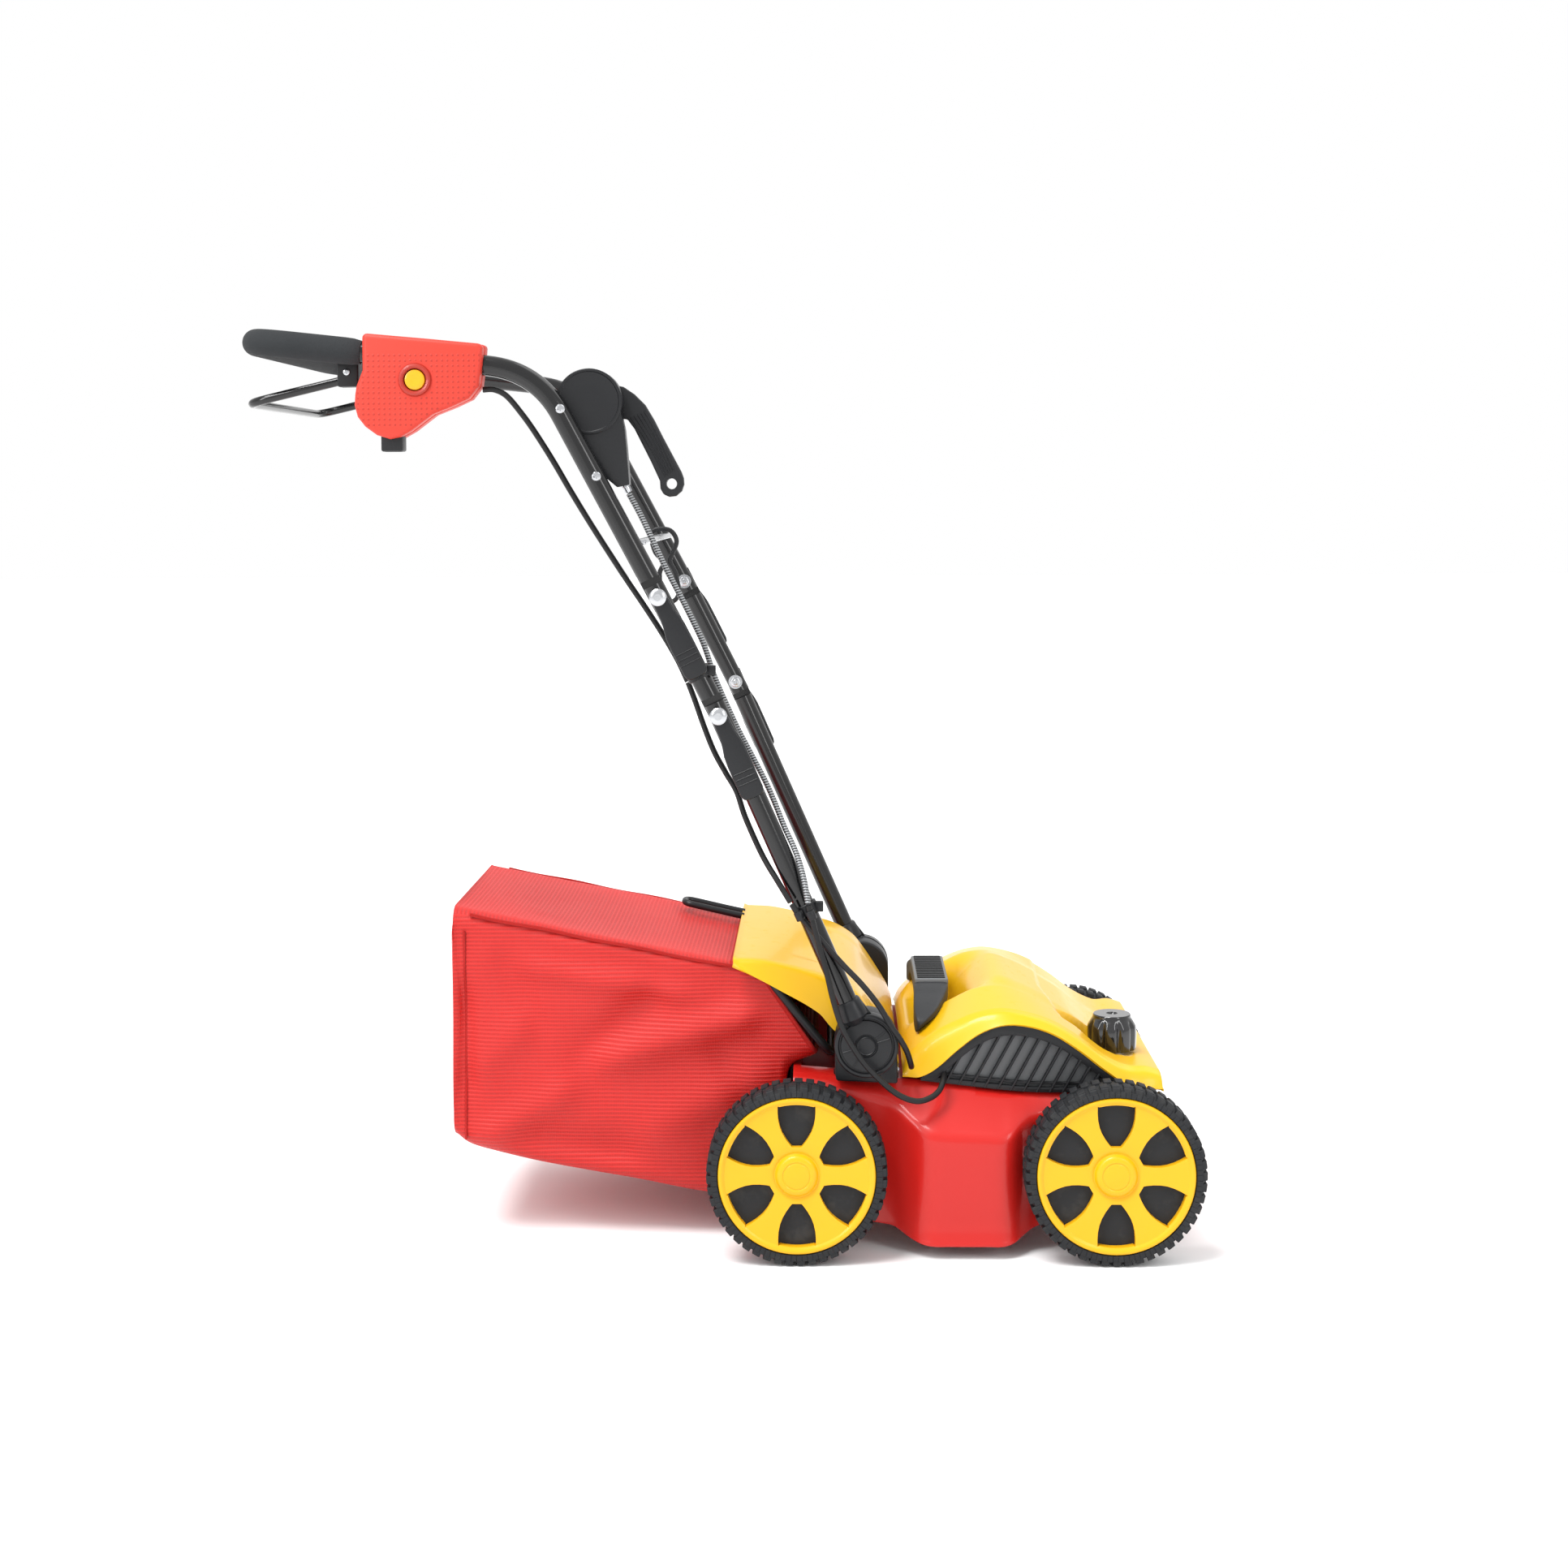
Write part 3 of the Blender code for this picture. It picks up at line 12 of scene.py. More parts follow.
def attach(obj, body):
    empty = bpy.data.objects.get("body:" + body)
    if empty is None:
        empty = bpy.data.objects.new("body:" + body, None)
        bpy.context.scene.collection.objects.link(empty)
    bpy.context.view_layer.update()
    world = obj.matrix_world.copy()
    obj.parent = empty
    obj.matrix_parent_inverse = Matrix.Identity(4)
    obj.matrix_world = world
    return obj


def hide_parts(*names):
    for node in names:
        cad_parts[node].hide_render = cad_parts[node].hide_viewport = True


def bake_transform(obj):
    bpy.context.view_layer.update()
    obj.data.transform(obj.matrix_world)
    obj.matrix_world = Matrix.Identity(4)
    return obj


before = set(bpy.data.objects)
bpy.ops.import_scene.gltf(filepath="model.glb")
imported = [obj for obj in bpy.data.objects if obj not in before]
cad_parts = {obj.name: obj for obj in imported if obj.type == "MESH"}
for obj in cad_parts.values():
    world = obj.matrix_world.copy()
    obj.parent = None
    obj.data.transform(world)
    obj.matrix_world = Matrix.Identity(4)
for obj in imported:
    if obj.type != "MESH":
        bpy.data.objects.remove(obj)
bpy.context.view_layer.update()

bl_info = {
    "name": "Lawn scarifier looks",
    "version": (1, 0, 0),
    "blender": (4, 5, 0),
    "location": "3D View > Sidebar > Scarifier",
    "description": "Shells, wheels, bag, handle and controls of a walk-behind lawn scarifier",
    "category": "Object",
}

SHIFT = 0.08425
SIDES = (("right", -1), ("left", 1))


# ---------------------------------------------------------------- surface maths
class Field:
    """A value that varies over a surface. Its operators add Math nodes."""

    def __init__(self, finish, socket):
        self.finish, self.socket = finish, socket

    def _do(self, operation, *values):
        return self.finish.node("ShaderNodeMath", {"operation": operation}, dict(enumerate(values)))

    def __add__(self, other):
        return self._do("ADD", self, other)

    def __radd__(self, other):
        return self._do("ADD", other, self)

    def __sub__(self, other):
        return self._do("SUBTRACT", self, other)

    def __rsub__(self, other):
        return self._do("SUBTRACT", other, self)

    def __mul__(self, other):
        return self._do("MULTIPLY", self, other)

    def __rmul__(self, other):
        return self._do("MULTIPLY", other, self)

    def __truediv__(self, other):
        return self._do("DIVIDE", self, other)

    def __pow__(self, other):
        return self._do("POWER", self, other)

    def sine(self):
        return self._do("SINE", self)

    def size(self):
        return self._do("ABSOLUTE", self)

    def above(self, low, high):
        """0 up to low, 1 from high on, and a smooth step between them."""
        return self.finish.node("ShaderNodeMapRange", {"interpolation_type": "SMOOTHSTEP"},
                                {0: self, 1: low, 2: high, 3: 0.0, 4: 1.0})


class Finish:
    """A Principled material whose pattern reads the piece's own place."""

    def __init__(self, name, colour, roughness, metallic=0.0, coat=0.0, specular=0.30):
        self.material = bpy.data.materials.new(name)
        self.material.use_nodes = True
        self.tree = self.material.node_tree
        self.shader = self.tree.nodes["Principled BSDF"]
        self.colour = tuple(colour)
        self.shader.inputs["Base Color"].default_value = (*colour, 1.0)
        self.shader.inputs["Roughness"].default_value = roughness
        self.shader.inputs["Metallic"].default_value = metallic
        self.shader.inputs["Coat Weight"].default_value = coat
        self.shader.inputs["Coat Roughness"].default_value = 0.08
        self.shader.inputs["Specular IOR Level"].default_value = 0.5 if metallic else specular

    def node(self, kind, settings, values, output=0):
        """Add a node: its settings first, then values or links for its sockets."""
        made = self.tree.nodes.new(kind)
        for key, value in settings.items():
            setattr(made, key, value)
        for key, value in values.items():
            if isinstance(value, Field):
                self.tree.links.new(value.socket, made.inputs[key])
            else:
                made.inputs[key].default_value = value
        return Field(self, made.outputs[output])

    def place(self, scale=(1.0, 1.0, 1.0)):
        at = self.node("ShaderNodeTexCoord", {}, {}, "Object")
        return self.node("ShaderNodeMapping", {}, {"Vector": at, "Scale": scale})

    def unwrapped(self):
        return self.node("ShaderNodeTexCoord", {}, {}, "UV")

    def parts(self, vector):
        split = self.tree.nodes.new("ShaderNodeSeparateXYZ")
        self.tree.links.new(vector.socket, split.inputs[0])
        return [Field(self, socket) for socket in split.outputs]

    def noise(self, vector, scale, detail=2.0, rough=0.5):
        return self.node("ShaderNodeTexNoise", {}, {"Vector": vector, "Scale": scale, "Detail": detail,
                                                    "Roughness": rough})

    def cells(self, vector, scale):
        return self.node("ShaderNodeTexVoronoi", {}, {"Vector": vector, "Scale": scale}, "Distance")

    def tint(self, mask, other):
        """The base colour, going to another colour where mask is 1."""
        made = self.tree.nodes.new("ShaderNodeMix")
        made.data_type = "RGBA"
        self.tree.links.new(mask.socket, made.inputs["Factor"])
        for socket in made.inputs:
            if socket.type == "RGBA" and socket.name == "A":
                socket.default_value = (*self.colour, 1.0)
            if socket.type == "RGBA" and socket.name == "B":
                socket.default_value = (*other, 1.0)
        out = [socket for socket in made.outputs if socket.type == "RGBA"][0]
        self.tree.links.new(out, self.shader.inputs["Base Color"])

    def rough(self, value):
        self.tree.links.new(value.socket, self.shader.inputs["Roughness"])

    def relief(self, height, strength, distance):
        bump = self.node("ShaderNodeBump", {}, {"Height": height, "Strength": strength,
                                                "Distance": distance})
        self.tree.links.new(bump.socket, self.shader.inputs["Normal"])


def darker(colour, share):
    return tuple(channel * share for channel in colour)


def moulded_plastic(name, colour, roughness, grain=900.0, depth=0.00012, coat=0.0, wear=0.10):
    """Injection-moulded plastic: a fine grain, uneven gloss and a trace of dust."""
    finish = Finish(name, colour, roughness, coat=coat)
    at = finish.place()
    grains, patches = finish.noise(at, grain, 2.0), finish.noise(at, 9.0, 3.0)
    scuffs = finish.noise(finish.place((1.0, 1.0, 6.0)), 55.0, 4.0, 0.65).above(0.56, 0.74)
    finish.tint(patches.above(0.35, 0.80) * wear * 2.0, darker(colour, 0.80))
    finish.rough(roughness + (patches - 0.5) * 0.14 + scuffs * 0.10)
    finish.relief(grains, 0.35, depth)
    return finish.material


def tyre_rubber(name, colour):
    finish = Finish(name, colour, 0.62, specular=0.25)
    at = finish.place()
    dust, grains = finish.noise(at, 40.0, 4.0, 0.6), finish.noise(at, 1400.0)
    finish.tint(dust.above(0.50, 0.72) * 0.35, (0.050, 0.049, 0.047))
    finish.rough(0.55 + dust * 0.18)
    finish.relief(grains + dust * 0.4, 0.4, 0.00018)
    return finish.material


def gloss_paint(name, colour):
    """Powder-coated steel tube: deep gloss with a soft orange peel."""
    finish = Finish(name, colour, 0.16, coat=0.12, specular=0.42)
    at = finish.place()
    peel, patches = finish.noise(at, 260.0, 1.0), finish.noise(at, 12.0, 2.0)
    finish.tint(patches.above(0.45, 0.80) * 0.25, darker(colour, 2.4))
    finish.rough(0.12 + patches * 0.10)
    finish.relief(peel, 0.10, 0.00010)
    return finish.material


def cell_foam(name, colour):
    finish = Finish(name, colour, 0.88)
    at = finish.place()
    cells, patches = finish.cells(at, 1250.0), finish.noise(at, 30.0, 3.0)
    finish.tint(cells.above(0.10, 0.55) * 0.45, darker(colour, 1.9))
    finish.rough(0.80 + patches * 0.14)
    finish.relief(cells, 0.55, 0.00035)
    return finish.material


def ribbed_mesh(name, colour):
    """Coated open-weave cloth with raised ribs along its width and fine threads across them."""
    finish = Finish(name, colour, 0.50, specular=0.42)
    across, along, _ = finish.parts(finish.unwrapped())
    at = finish.place()
    ribs = ((along * (math.tau / 0.0046)).sine() * 0.5 + 0.5) ** 1.6
    threads = (across * (math.tau / 0.0017)).sine() * 0.5 + 0.5
    patches, fine = finish.noise(at, 7.0, 3.0), finish.noise(at, 900.0, 2.0)
    weave = ribs * 0.75 + threads * (1.0 - ribs) * 0.45
    x, _, z = finish.parts(at)
    # painted light: the top panel keeps little of the dark weave tint below, so the top is painted lighter
    # than the sides
    top = (z + x * 0.2).above(0.3138, 0.3168)
    finish.tint((1.0 - weave) * (0.50 + patches * 0.26) * (1.0 - top * 0.72), darker(colour, 0.42))
    finish.rough(0.36 + threads * 0.12 + patches * 0.14)
    finish.relief(weave + fine * 0.15, 0.85, 0.0009)
    return finish.material


def stitched_edge(name, colour):
    finish = Finish(name, colour, 0.70)
    across, _, _ = finish.parts(finish.unwrapped())
    stitches = ((across * (math.tau / 0.0042)).sine() * 0.5 + 0.5).above(0.30, 0.80)
    finish.tint(stitches * 0.45, darker(colour, 0.45))
    finish.rough(0.60 + stitches * 0.15)
    finish.relief(stitches, 0.6, 0.0005)
    return finish.material


def dotted_plastic(name, colour):
    """Switch-box plastic with rows of small raised dots on a fine grain."""
    finish = Finish(name, colour, 0.44)
    x, y, z = finish.parts(finish.place())
    dots = ((x * (math.pi / 0.0058)).sine() * (z * (math.pi / 0.0058)).sine()).size().above(0.62, 0.92)
    inside = (1.0 - z.above(1.0035, 1.0050)) * z.above(0.9230, 0.9245) * (x + z).above(0.5395, 0.5410)
    button = ((x + 0.32875) * (x + 0.32875) + (z - 0.974) * (z - 0.974)).above(0.00042, 0.00046)
    lower = inside * button * (0.0 - y).above(0.2385, 0.2395)
    edge = finish.noise(finish.place(), 9.0, 3.0)
    finish.tint(dots * lower * 0.62 + edge * 0.06, darker(colour, 0.50))
    finish.rough(0.40 + edge * 0.10)
    finish.relief(dots * lower + finish.noise(finish.place(), 1100.0) * 0.15, 0.6, 0.0005)
    return finish.material


def bright_metal(name, colour, roughness, drawn=(1.0, 1.0, 1.0)):
    """Zinc-plated or ground steel with fine drawing lines and dull patches."""
    finish = Finish(name, colour, roughness, metallic=1.0)
    lines = finish.noise(finish.place(drawn), 320.0, 3.0)
    patches = finish.noise(finish.place(), 45.0, 4.0, 0.6)
    finish.tint(patches.above(0.40, 0.75) * 0.35, darker(colour, 0.62))
    finish.rough(roughness + (patches - 0.5) * 0.22 + (lines - 0.5) * 0.12)
    finish.relief(lines, 0.15, 0.00008)
    return finish.material


def cable_jacket(name, colour):
    finish = Finish(name, colour, 0.42)
    at = finish.place()
    finish.rough(0.34 + finish.noise(at, 60.0, 3.0) * 0.20)
    finish.tint(finish.noise(at, 25.0, 3.0).above(0.45, 0.75) * 0.30, darker(colour, 2.0))
    finish.relief(finish.noise(at, 1500.0), 0.25, 0.0001)
    return finish.material


def wound_sheath(name, colour):
    """A cable sheath wound from flat wire: bright turns with dark gaps."""
    finish = Finish(name, colour, 0.34, metallic=0.35)
    across, along, _ = finish.parts(finish.unwrapped())
    turns = (along * (math.tau / 0.0030) + across * math.tau).sine() * 0.5 + 0.5
    finish.tint(1.0 - turns.above(0.15, 0.60), (0.012, 0.012, 0.013))
    finish.rough(0.28 + turns * 0.15)
    finish.relief(turns, 0.8, 0.0006)
    return finish.material


def pale_floor(name, colour):
    finish = Finish(name, colour, 0.75)
    at = finish.place()
    finish.tint(finish.noise(at, 1.3, 3.0) * 0.10, darker(colour, 0.94))
    finish.rough(0.70 + finish.noise(at, 30.0) * 0.08)
    return finish.material


# ---------------------------------------------------------------- modelling helpers
def drop_selection():
    if bpy.context.object and bpy.context.object.mode != "OBJECT":
        bpy.ops.object.mode_set(mode="OBJECT")
    bpy.ops.object.select_all(action="DESELECT")


def edit(piece):
    """Put one piece in edit mode with all of it selected."""
    drop_selection()
    bpy.context.view_layer.objects.active = piece
    piece.select_set(True)
    bpy.ops.object.mode_set(mode="EDIT")
    bpy.ops.mesh.select_all(action="SELECT")


def done():
    bpy.ops.object.mode_set(mode="OBJECT")


def apply_modifier(piece, kind, **settings):
    """Add a modifier, set it and apply it."""
    drop_selection()
    bpy.context.view_layer.objects.active = piece
    piece.select_set(True)
    step = piece.modifiers.new(kind.lower(), kind)
    for key, value in settings.items():
        setattr(step, key, value)
    bpy.ops.object.modifier_apply(modifier=step.name)
    return piece


def round_edges(piece, width, segments=2, angle=35):
    """Round every edge sharper than the angle."""
    return apply_modifier(piece, "BEVEL", width=width, segments=segments, limit_method="ANGLE",
                          angle_limit=math.radians(angle), use_clamp_overlap=True)


def outward(piece, merge=0.00002):
    edit(piece)
    bpy.ops.mesh.remove_doubles(threshold=merge)
    bpy.ops.mesh.normals_make_consistent(inside=False)
    done()
    return piece


def carve(piece, tool, operation="DIFFERENCE"):
    """Cut piece with tool, or join tool to it, and drop the tool."""
    apply_modifier(piece, "BOOLEAN", object=tool, operation=operation, solver="EXACT")
    bpy.data.objects.remove(tool, do_unlink=True)
    return piece


def blank(name, sides):
    """A flat ring of corners, ready to be put in place."""
    drop_selection()
    bpy.ops.mesh.primitive_circle_add(vertices=sides, radius=1.0, fill_type="NGON")
    piece = bpy.context.object
    piece.name = name
    return piece


def plate(name, outline, y0, y1, edge=0.0, segments=2):
    """A flat piece with a side-view outline of (x, z) corners, from y0 to y1, with rounded edges."""
    piece = blank(name, len(outline))
    for vertex, (x, z) in zip(piece.data.vertices, outline):
        vertex.co = (x, y0, z)
    edit(piece)
    bpy.ops.mesh.extrude_region_move(TRANSFORM_OT_translate={"value": (0, y1 - y0, 0)})
    bpy.ops.mesh.select_all(action="SELECT")
    bpy.ops.mesh.normals_make_consistent(inside=False)
    done()
    return round_edges(piece, edge, segments) if edge else piece


def slab(name, x0, x1, y0, y1, z0, z1, edge=0.001):
    return plate(name, [(x0, z0), (x1, z0), (x1, z1), (x0, z1)], y0, y1, edge)


def turned(name, profile, x, z, sides=64, y=0.0):
    """Grow rings along Y from (radius, along) pairs. A radius of 0 closes the end."""
    radius, along = profile[0]
    radius = max(radius, 0.0001)
    drop_selection()
    bpy.ops.mesh.primitive_circle_add(vertices=sides, radius=radius, fill_type="NGON")
    piece = bpy.context.object
    piece.name = name
    piece.data.transform(Matrix.Translation((0, along, 0)) @ Matrix.Rotation(math.pi / 2, 4, "X"))
    edit(piece)
    for next_radius, next_along in profile[1:]:
        next_radius = max(next_radius, 0.0001)
        bpy.ops.mesh.extrude_region_move(TRANSFORM_OT_translate={"value": (0, next_along - along, 0)})
        if abs(next_radius - radius) > 1e-7:
            share = next_radius / radius
            bpy.ops.transform.resize(value=(share, 1, share), center_override=(0, next_along, 0))
        radius, along = next_radius, next_along
    bpy.ops.mesh.select_all(action="SELECT")
    bpy.ops.mesh.normals_make_consistent(inside=False)
    done()
    piece.data.transform(Matrix.Translation((x, y, z)))
    return piece


def turn_to(piece, centre, direction):
    """Turn a piece grown along Y round the centre, so that its Y points along the direction."""
    swing = Vector((0, 1, 0)).rotation_difference(Vector(direction).normalized()).to_matrix().to_4x4()
    middle = Matrix.Translation(centre)
    piece.data.transform(middle @ swing @ middle.inverted())
    return piece


def smooth_path(points, steps):
    """Points on a smooth curve through the given ones."""
    path = [Vector(p) for p in points]
    out = []
    for i in range(len(path) - 1):
        p0, p1, p2, p3 = path[max(i - 1, 0)], path[i], path[i + 1], path[min(i + 2, len(path) - 1)]
        for k in range(steps):
            t = k / steps
            out.append(0.5 * ((2 * p1) + (p2 - p0) * t + (2 * p0 - 5 * p1 + 4 * p2 - p3) * t * t
                              + (3 * p1 - p0 - 3 * p2 + p3) * t ** 3))
    out.append(path[-1])
    return out


def rod(name, points, radius, sides=20, closed=False, radii=None):
    """A round bar along points, with its own length and turn as a UV map in metres and turns."""
    path = [Vector(p) for p in points]
    count = len(path)
    rings = count + (1 if closed else 0)
    drop_selection()
    bpy.ops.mesh.primitive_grid_add(x_subdivisions=sides, y_subdivisions=rings - 1, size=1.0)
    piece = bpy.context.object
    piece.name = name
    side, frames, length, lengths = None, [], 0.0, []
    for i in range(count):
        ahead = path[(i + 1) % count] if closed else path[min(i + 1, count - 1)]
        behind = path[i - 1] if closed else path[max(i - 1, 0)]
        along = (ahead - behind).normalized()
        if side is None:
            side = along.orthogonal().normalized()
        side = (side - along * side.dot(along)).normalized()
        frames.append((path[i], side.copy(), along.cross(side)))
        lengths.append(length)
        length += (path[(i + 1) % count] - path[i]).length if i + 1 < count or closed else 0.0
    frames.append(frames[0])
    lengths.append(length)
    ring_of, turn_of = {}, {}
    for vertex in piece.data.vertices:
        ring = round((vertex.co.y + 0.5) * (rings - 1))
        turn = round((vertex.co.x + 0.5) * sides)
        ring_of[vertex.index], turn_of[vertex.index] = ring, turn
        middle, side, other = frames[ring % count if closed else ring]
        angle = math.tau * (turn % sides) / sides
        size = radii[ring % count] if radii else radius
        vertex.co = middle + (side * math.cos(angle) + other * math.sin(angle)) * size
    chart = piece.data.uv_layers.active or piece.data.uv_layers.new(name="UVMap")
    for loop in piece.data.loops:
        chart.data[loop.index].uv = (turn_of[loop.vertex_index] / sides, lengths[ring_of[loop.vertex_index]])
    edit(piece)
    bpy.ops.mesh.remove_doubles(threshold=0.00001)
    if not closed:
        bpy.ops.mesh.select_all(action="DESELECT")
        bpy.ops.mesh.select_non_manifold()
        bpy.ops.mesh.fill_holes(sides=0)
        bpy.ops.mesh.select_all(action="SELECT")
    else:
        bpy.ops.mesh.select_all(action="SELECT")
    bpy.ops.mesh.normals_make_consistent(inside=False)
    done()
    return piece


def bent(corners, radius, steps=8):
    """Round the inner corners of a path."""
    path = [Vector(p) for p in corners]
    out = [path[0]]
    for before, corner, after in zip(path, path[1:], path[2:]):
        start = corner + (before - corner).normalized() * radius
        end = corner + (after - corner).normalized() * radius
        for k in range(steps + 1):
            t = k / steps
            out.append(start * (1 - t) ** 2 + corner * 2 * t * (1 - t) + end * t * t)
    out.append(path[-1])
    return out


def skin(name, across, along, place):
    """A grid whose corner at shares (u, v) is moved to place(u, v)."""
    drop_selection()
    bpy.ops.mesh.primitive_grid_add(x_subdivisions=across, y_subdivisions=along, size=1.0)
    piece = bpy.context.object
    piece.name = name
    for vertex in piece.data.vertices:
        vertex.co = place(vertex.co.x + 0.5, vertex.co.y + 0.5)
    return piece


def join(pieces):
    drop_selection()
    for piece in pieces:
        piece.select_set(True)
    bpy.context.view_layer.objects.active = pieces[0]
    bpy.ops.object.join()
    return pieces[0]


def twin(piece, name, move):
    """A copy with its own mesh, put in place by a matrix."""
    other = piece.copy()
    other.data = piece.data.copy()
    other.name = name
    bpy.context.scene.collection.objects.link(other)
    other.data.transform(move)
    if move.determinant() < 0:
        other.data.flip_normals()
    return other


def face_up(piece):
    """Make the open skin's faces look up and outwards."""
    outward(piece, 0.000005)
    top = max(piece.data.polygons, key=lambda f: f.center.z)
    if top.normal.z < 0:
        piece.data.flip_normals()
    return piece


def finish_piece(piece, material, body=None, replaces=(), angle=35, slot=None):
    """Shift a piece into the row frame, give it its finish and let it ride on its body."""
    piece.data.transform(Matrix.Translation((SHIFT, 0, 0)) @ piece.matrix_world)
    piece.matrix_world = Matrix.Identity(4)
    piece.data.materials.clear()
    piece.data.materials.append(material)
    drop_selection()
    bpy.context.view_layer.objects.active = piece
    piece.select_set(True)
    bpy.ops.object.shade_smooth_by_angle(angle=math.radians(angle))
    if body:
        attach(piece, body)
    if replaces:
        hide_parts(*replaces)
    if slot or replaces:
        slot or replaces[0]
    return piece


def curve_value(x, points):
    """Read a smooth curve through (x, value) points at x."""
    if x <= points[0][0]:
        return points[0][1]
    if x >= points[-1][0]:
        return points[-1][1]
    for i in range(len(points) - 1):
        (xa, va), (xb, vb) = points[i], points[i + 1]
        if x <= xb:
            before = points[max(i - 1, 0)]
            after = points[min(i + 2, len(points) - 1)]
            slope_a = (vb - before[1]) / (xb - before[0])
            slope_b = (after[1] - va) / (after[0] - xa)
            t, span = (x - xa) / (xb - xa), xb - xa
            return ((2 * t ** 3 - 3 * t * t + 1) * va + (t ** 3 - 2 * t * t + t) * span * slope_a
                    + (3 * t * t - 2 * t ** 3) * vb + (t ** 3 - t * t) * span * slope_b)
    return points[-1][1]


def step(value, low, high):
    t = min(max((value - low) / (high - low), 0.0), 1.0)
    return t * t * (3 - 2 * t)


def mixed(a, b, share):
    return a + (b - a) * share


# ---------------------------------------------------------------- wheels
WHEEL_R = 0.100
WHEEL_OUT = 0.2565
WHEEL_WIDE = 0.042
WHEELBASE = 0.350
BLOCKS = 48


def tyre_and_disc(name):
    """The moulded wheel: tread base, shoulders, sidewall, and the recessed disc behind the cover."""
    out, back = WHEEL_OUT, WHEEL_OUT - WHEEL_WIDE
    profile = [(0.0064, back + 0.006), (0.0170, back + 0.006), (0.0180, back + 0.014), (0.0700, back + 0.017),
               (0.0760, back + 0.008), (0.0800, back + 0.001), (0.0905, back), (0.0945, back + 0.0015),
               (0.0962, back + 0.006), (0.0970, back + 0.012), (0.0970, out - 0.012), (0.0962, out - 0.006),
               (0.0948, out - 0.0022), (0.0925, out - 0.0008), (0.0880, out - 0.0010), (0.0872, out - 0.0030),
               (0.0870, out - 0.0125), (0.0780, out - 0.0150), (0.0300, out - 0.0165), (0.0064, out - 0.0165)]
    return turned(name, profile, 0.0, 0.0, 144)


def tread(name):
    """Two staggered rows of tread blocks, and lugs down both shoulders."""
    out, back = WHEEL_OUT, WHEEL_OUT - WHEEL_WIDE
    pieces = []
    first = slab("block", -0.0044, 0.0044, back + 0.0035, back + 0.0185, 0.0955, 0.0998, 0.0009)
    second = slab("block", -0.0044, 0.0044, out - 0.0185, out - 0.0035, 0.0955, 0.0998, 0.0009)
    lug = plate("lug", [(-0.0044, 0.0905), (0.0044, 0.0905), (0.0044, 0.0990), (-0.0044, 0.0990)],
                out - 0.0040, out - 0.0006, 0.0007, 1)
    side = plate("side_lug", [(-0.0027, 0.0880), (0.0027, 0.0880), (0.0029, 0.0944), (-0.0029, 0.0944)],
                 out - 0.0012, out - 0.0002, 0.0003, 1)
    other = twin(lug, "lug", Matrix.Scale(-1, 4, (0, 1, 0)) @ Matrix.Translation((0, -(out + back), 0)))
    for number in range(BLOCKS):
        angle = math.tau * number / BLOCKS
        for shape, shift in ((first, 0.0), (second, 0.5), (lug, 0.5), (other, 0.0)):
            turn = Matrix.Rotation(angle + shift * math.tau / BLOCKS, 4, "Y")
            pieces.append(twin(shape, "block", turn))
    for number in range(96):
        pieces.append(twin(side, "lug", Matrix.Rotation(math.tau * (number + 0.25) / 96, 4, "Y")))
    for shape in (first, second, lug, side, other):
        bpy.data.objects.remove(shape, do_unlink=True)
    made = join(pieces)
    made.name = name
    return made


def spoked_cover(name):
    """The wheel cover: a beaded rim, six waisted spokes dished towards the hub, and a domed cap."""
    out = WHEEL_OUT
    profile = [(0.0, out - 0.0118), (0.0868, out - 0.0118), (0.0868, out - 0.0018), (0.0860, out - 0.0006),
               (0.0845, out - 0.0001), (0.0828, out - 0.0003), (0.0812, out - 0.0014), (0.0795, out - 0.0026),
               (0.0600, out - 0.0034), (0.0400, out - 0.0040), (0.0290, out - 0.0046), (0.0262, out - 0.0052),
               (0.0248, out - 0.0060), (0.0238, out - 0.0058), (0.0226, out - 0.0036), (0.0214, out - 0.0018),
               (0.0196, out - 0.0008), (0.0160, out - 0.0004), (0.0152, out - 0.0010), (0.0144, out - 0.0010),
               (0.0136, out - 0.0004), (0.0, out - 0.0001)]
    cover = turned(name, profile, 0.0, 0.0, 120)
    half = ((0.0315, 0.0052), (0.0345, 0.0078), (0.0400, 0.0118), (0.0470, 0.0158), (0.0540, 0.0185),
            (0.0620, 0.0202), (0.0700, 0.0208), (0.0775, 0.0207))
    arch = [(math.sin(a) * 0.0790, math.cos(a) * 0.0790) for a in (0.24, 0.16, 0.08, 0.0, -0.08, -0.16,
                                                                   -0.24)]
    outline = [(w, r) for r, w in half] + arch + [(-w, r) for r, w in reversed(half)]
    for number in range(6):
        angle = math.tau * (number + 0.5) / 6 + math.radians(30)
        spin = [(x * math.cos(angle) + z * math.sin(angle), z * math.cos(angle) - x * math.sin(angle))
                for x, z in outline]
        carve(cover, plate("opening", spin, out - 0.020, out + 0.010))
    return round_edges(cover, 0.0011, 3, 30)


def inner_ribs(name):
    """Radial ribs on the inboard face of the disc."""
    back = WHEEL_OUT - WHEEL_WIDE
    rib = plate("rib", [(-0.0016, 0.0150), (0.0016, 0.0150), (0.0016, 0.0790), (-0.0016, 0.0790)],
                back + 0.0075, back + 0.0180, 0.0004, 1)
    ribs = [twin(rib, "rib", Matrix.Rotation(math.tau * k / 12, 4, "Y")) for k in range(12)]
    bpy.data.objects.remove(rib, do_unlink=True)
    made = join(ribs)
    made.name = name
    return made


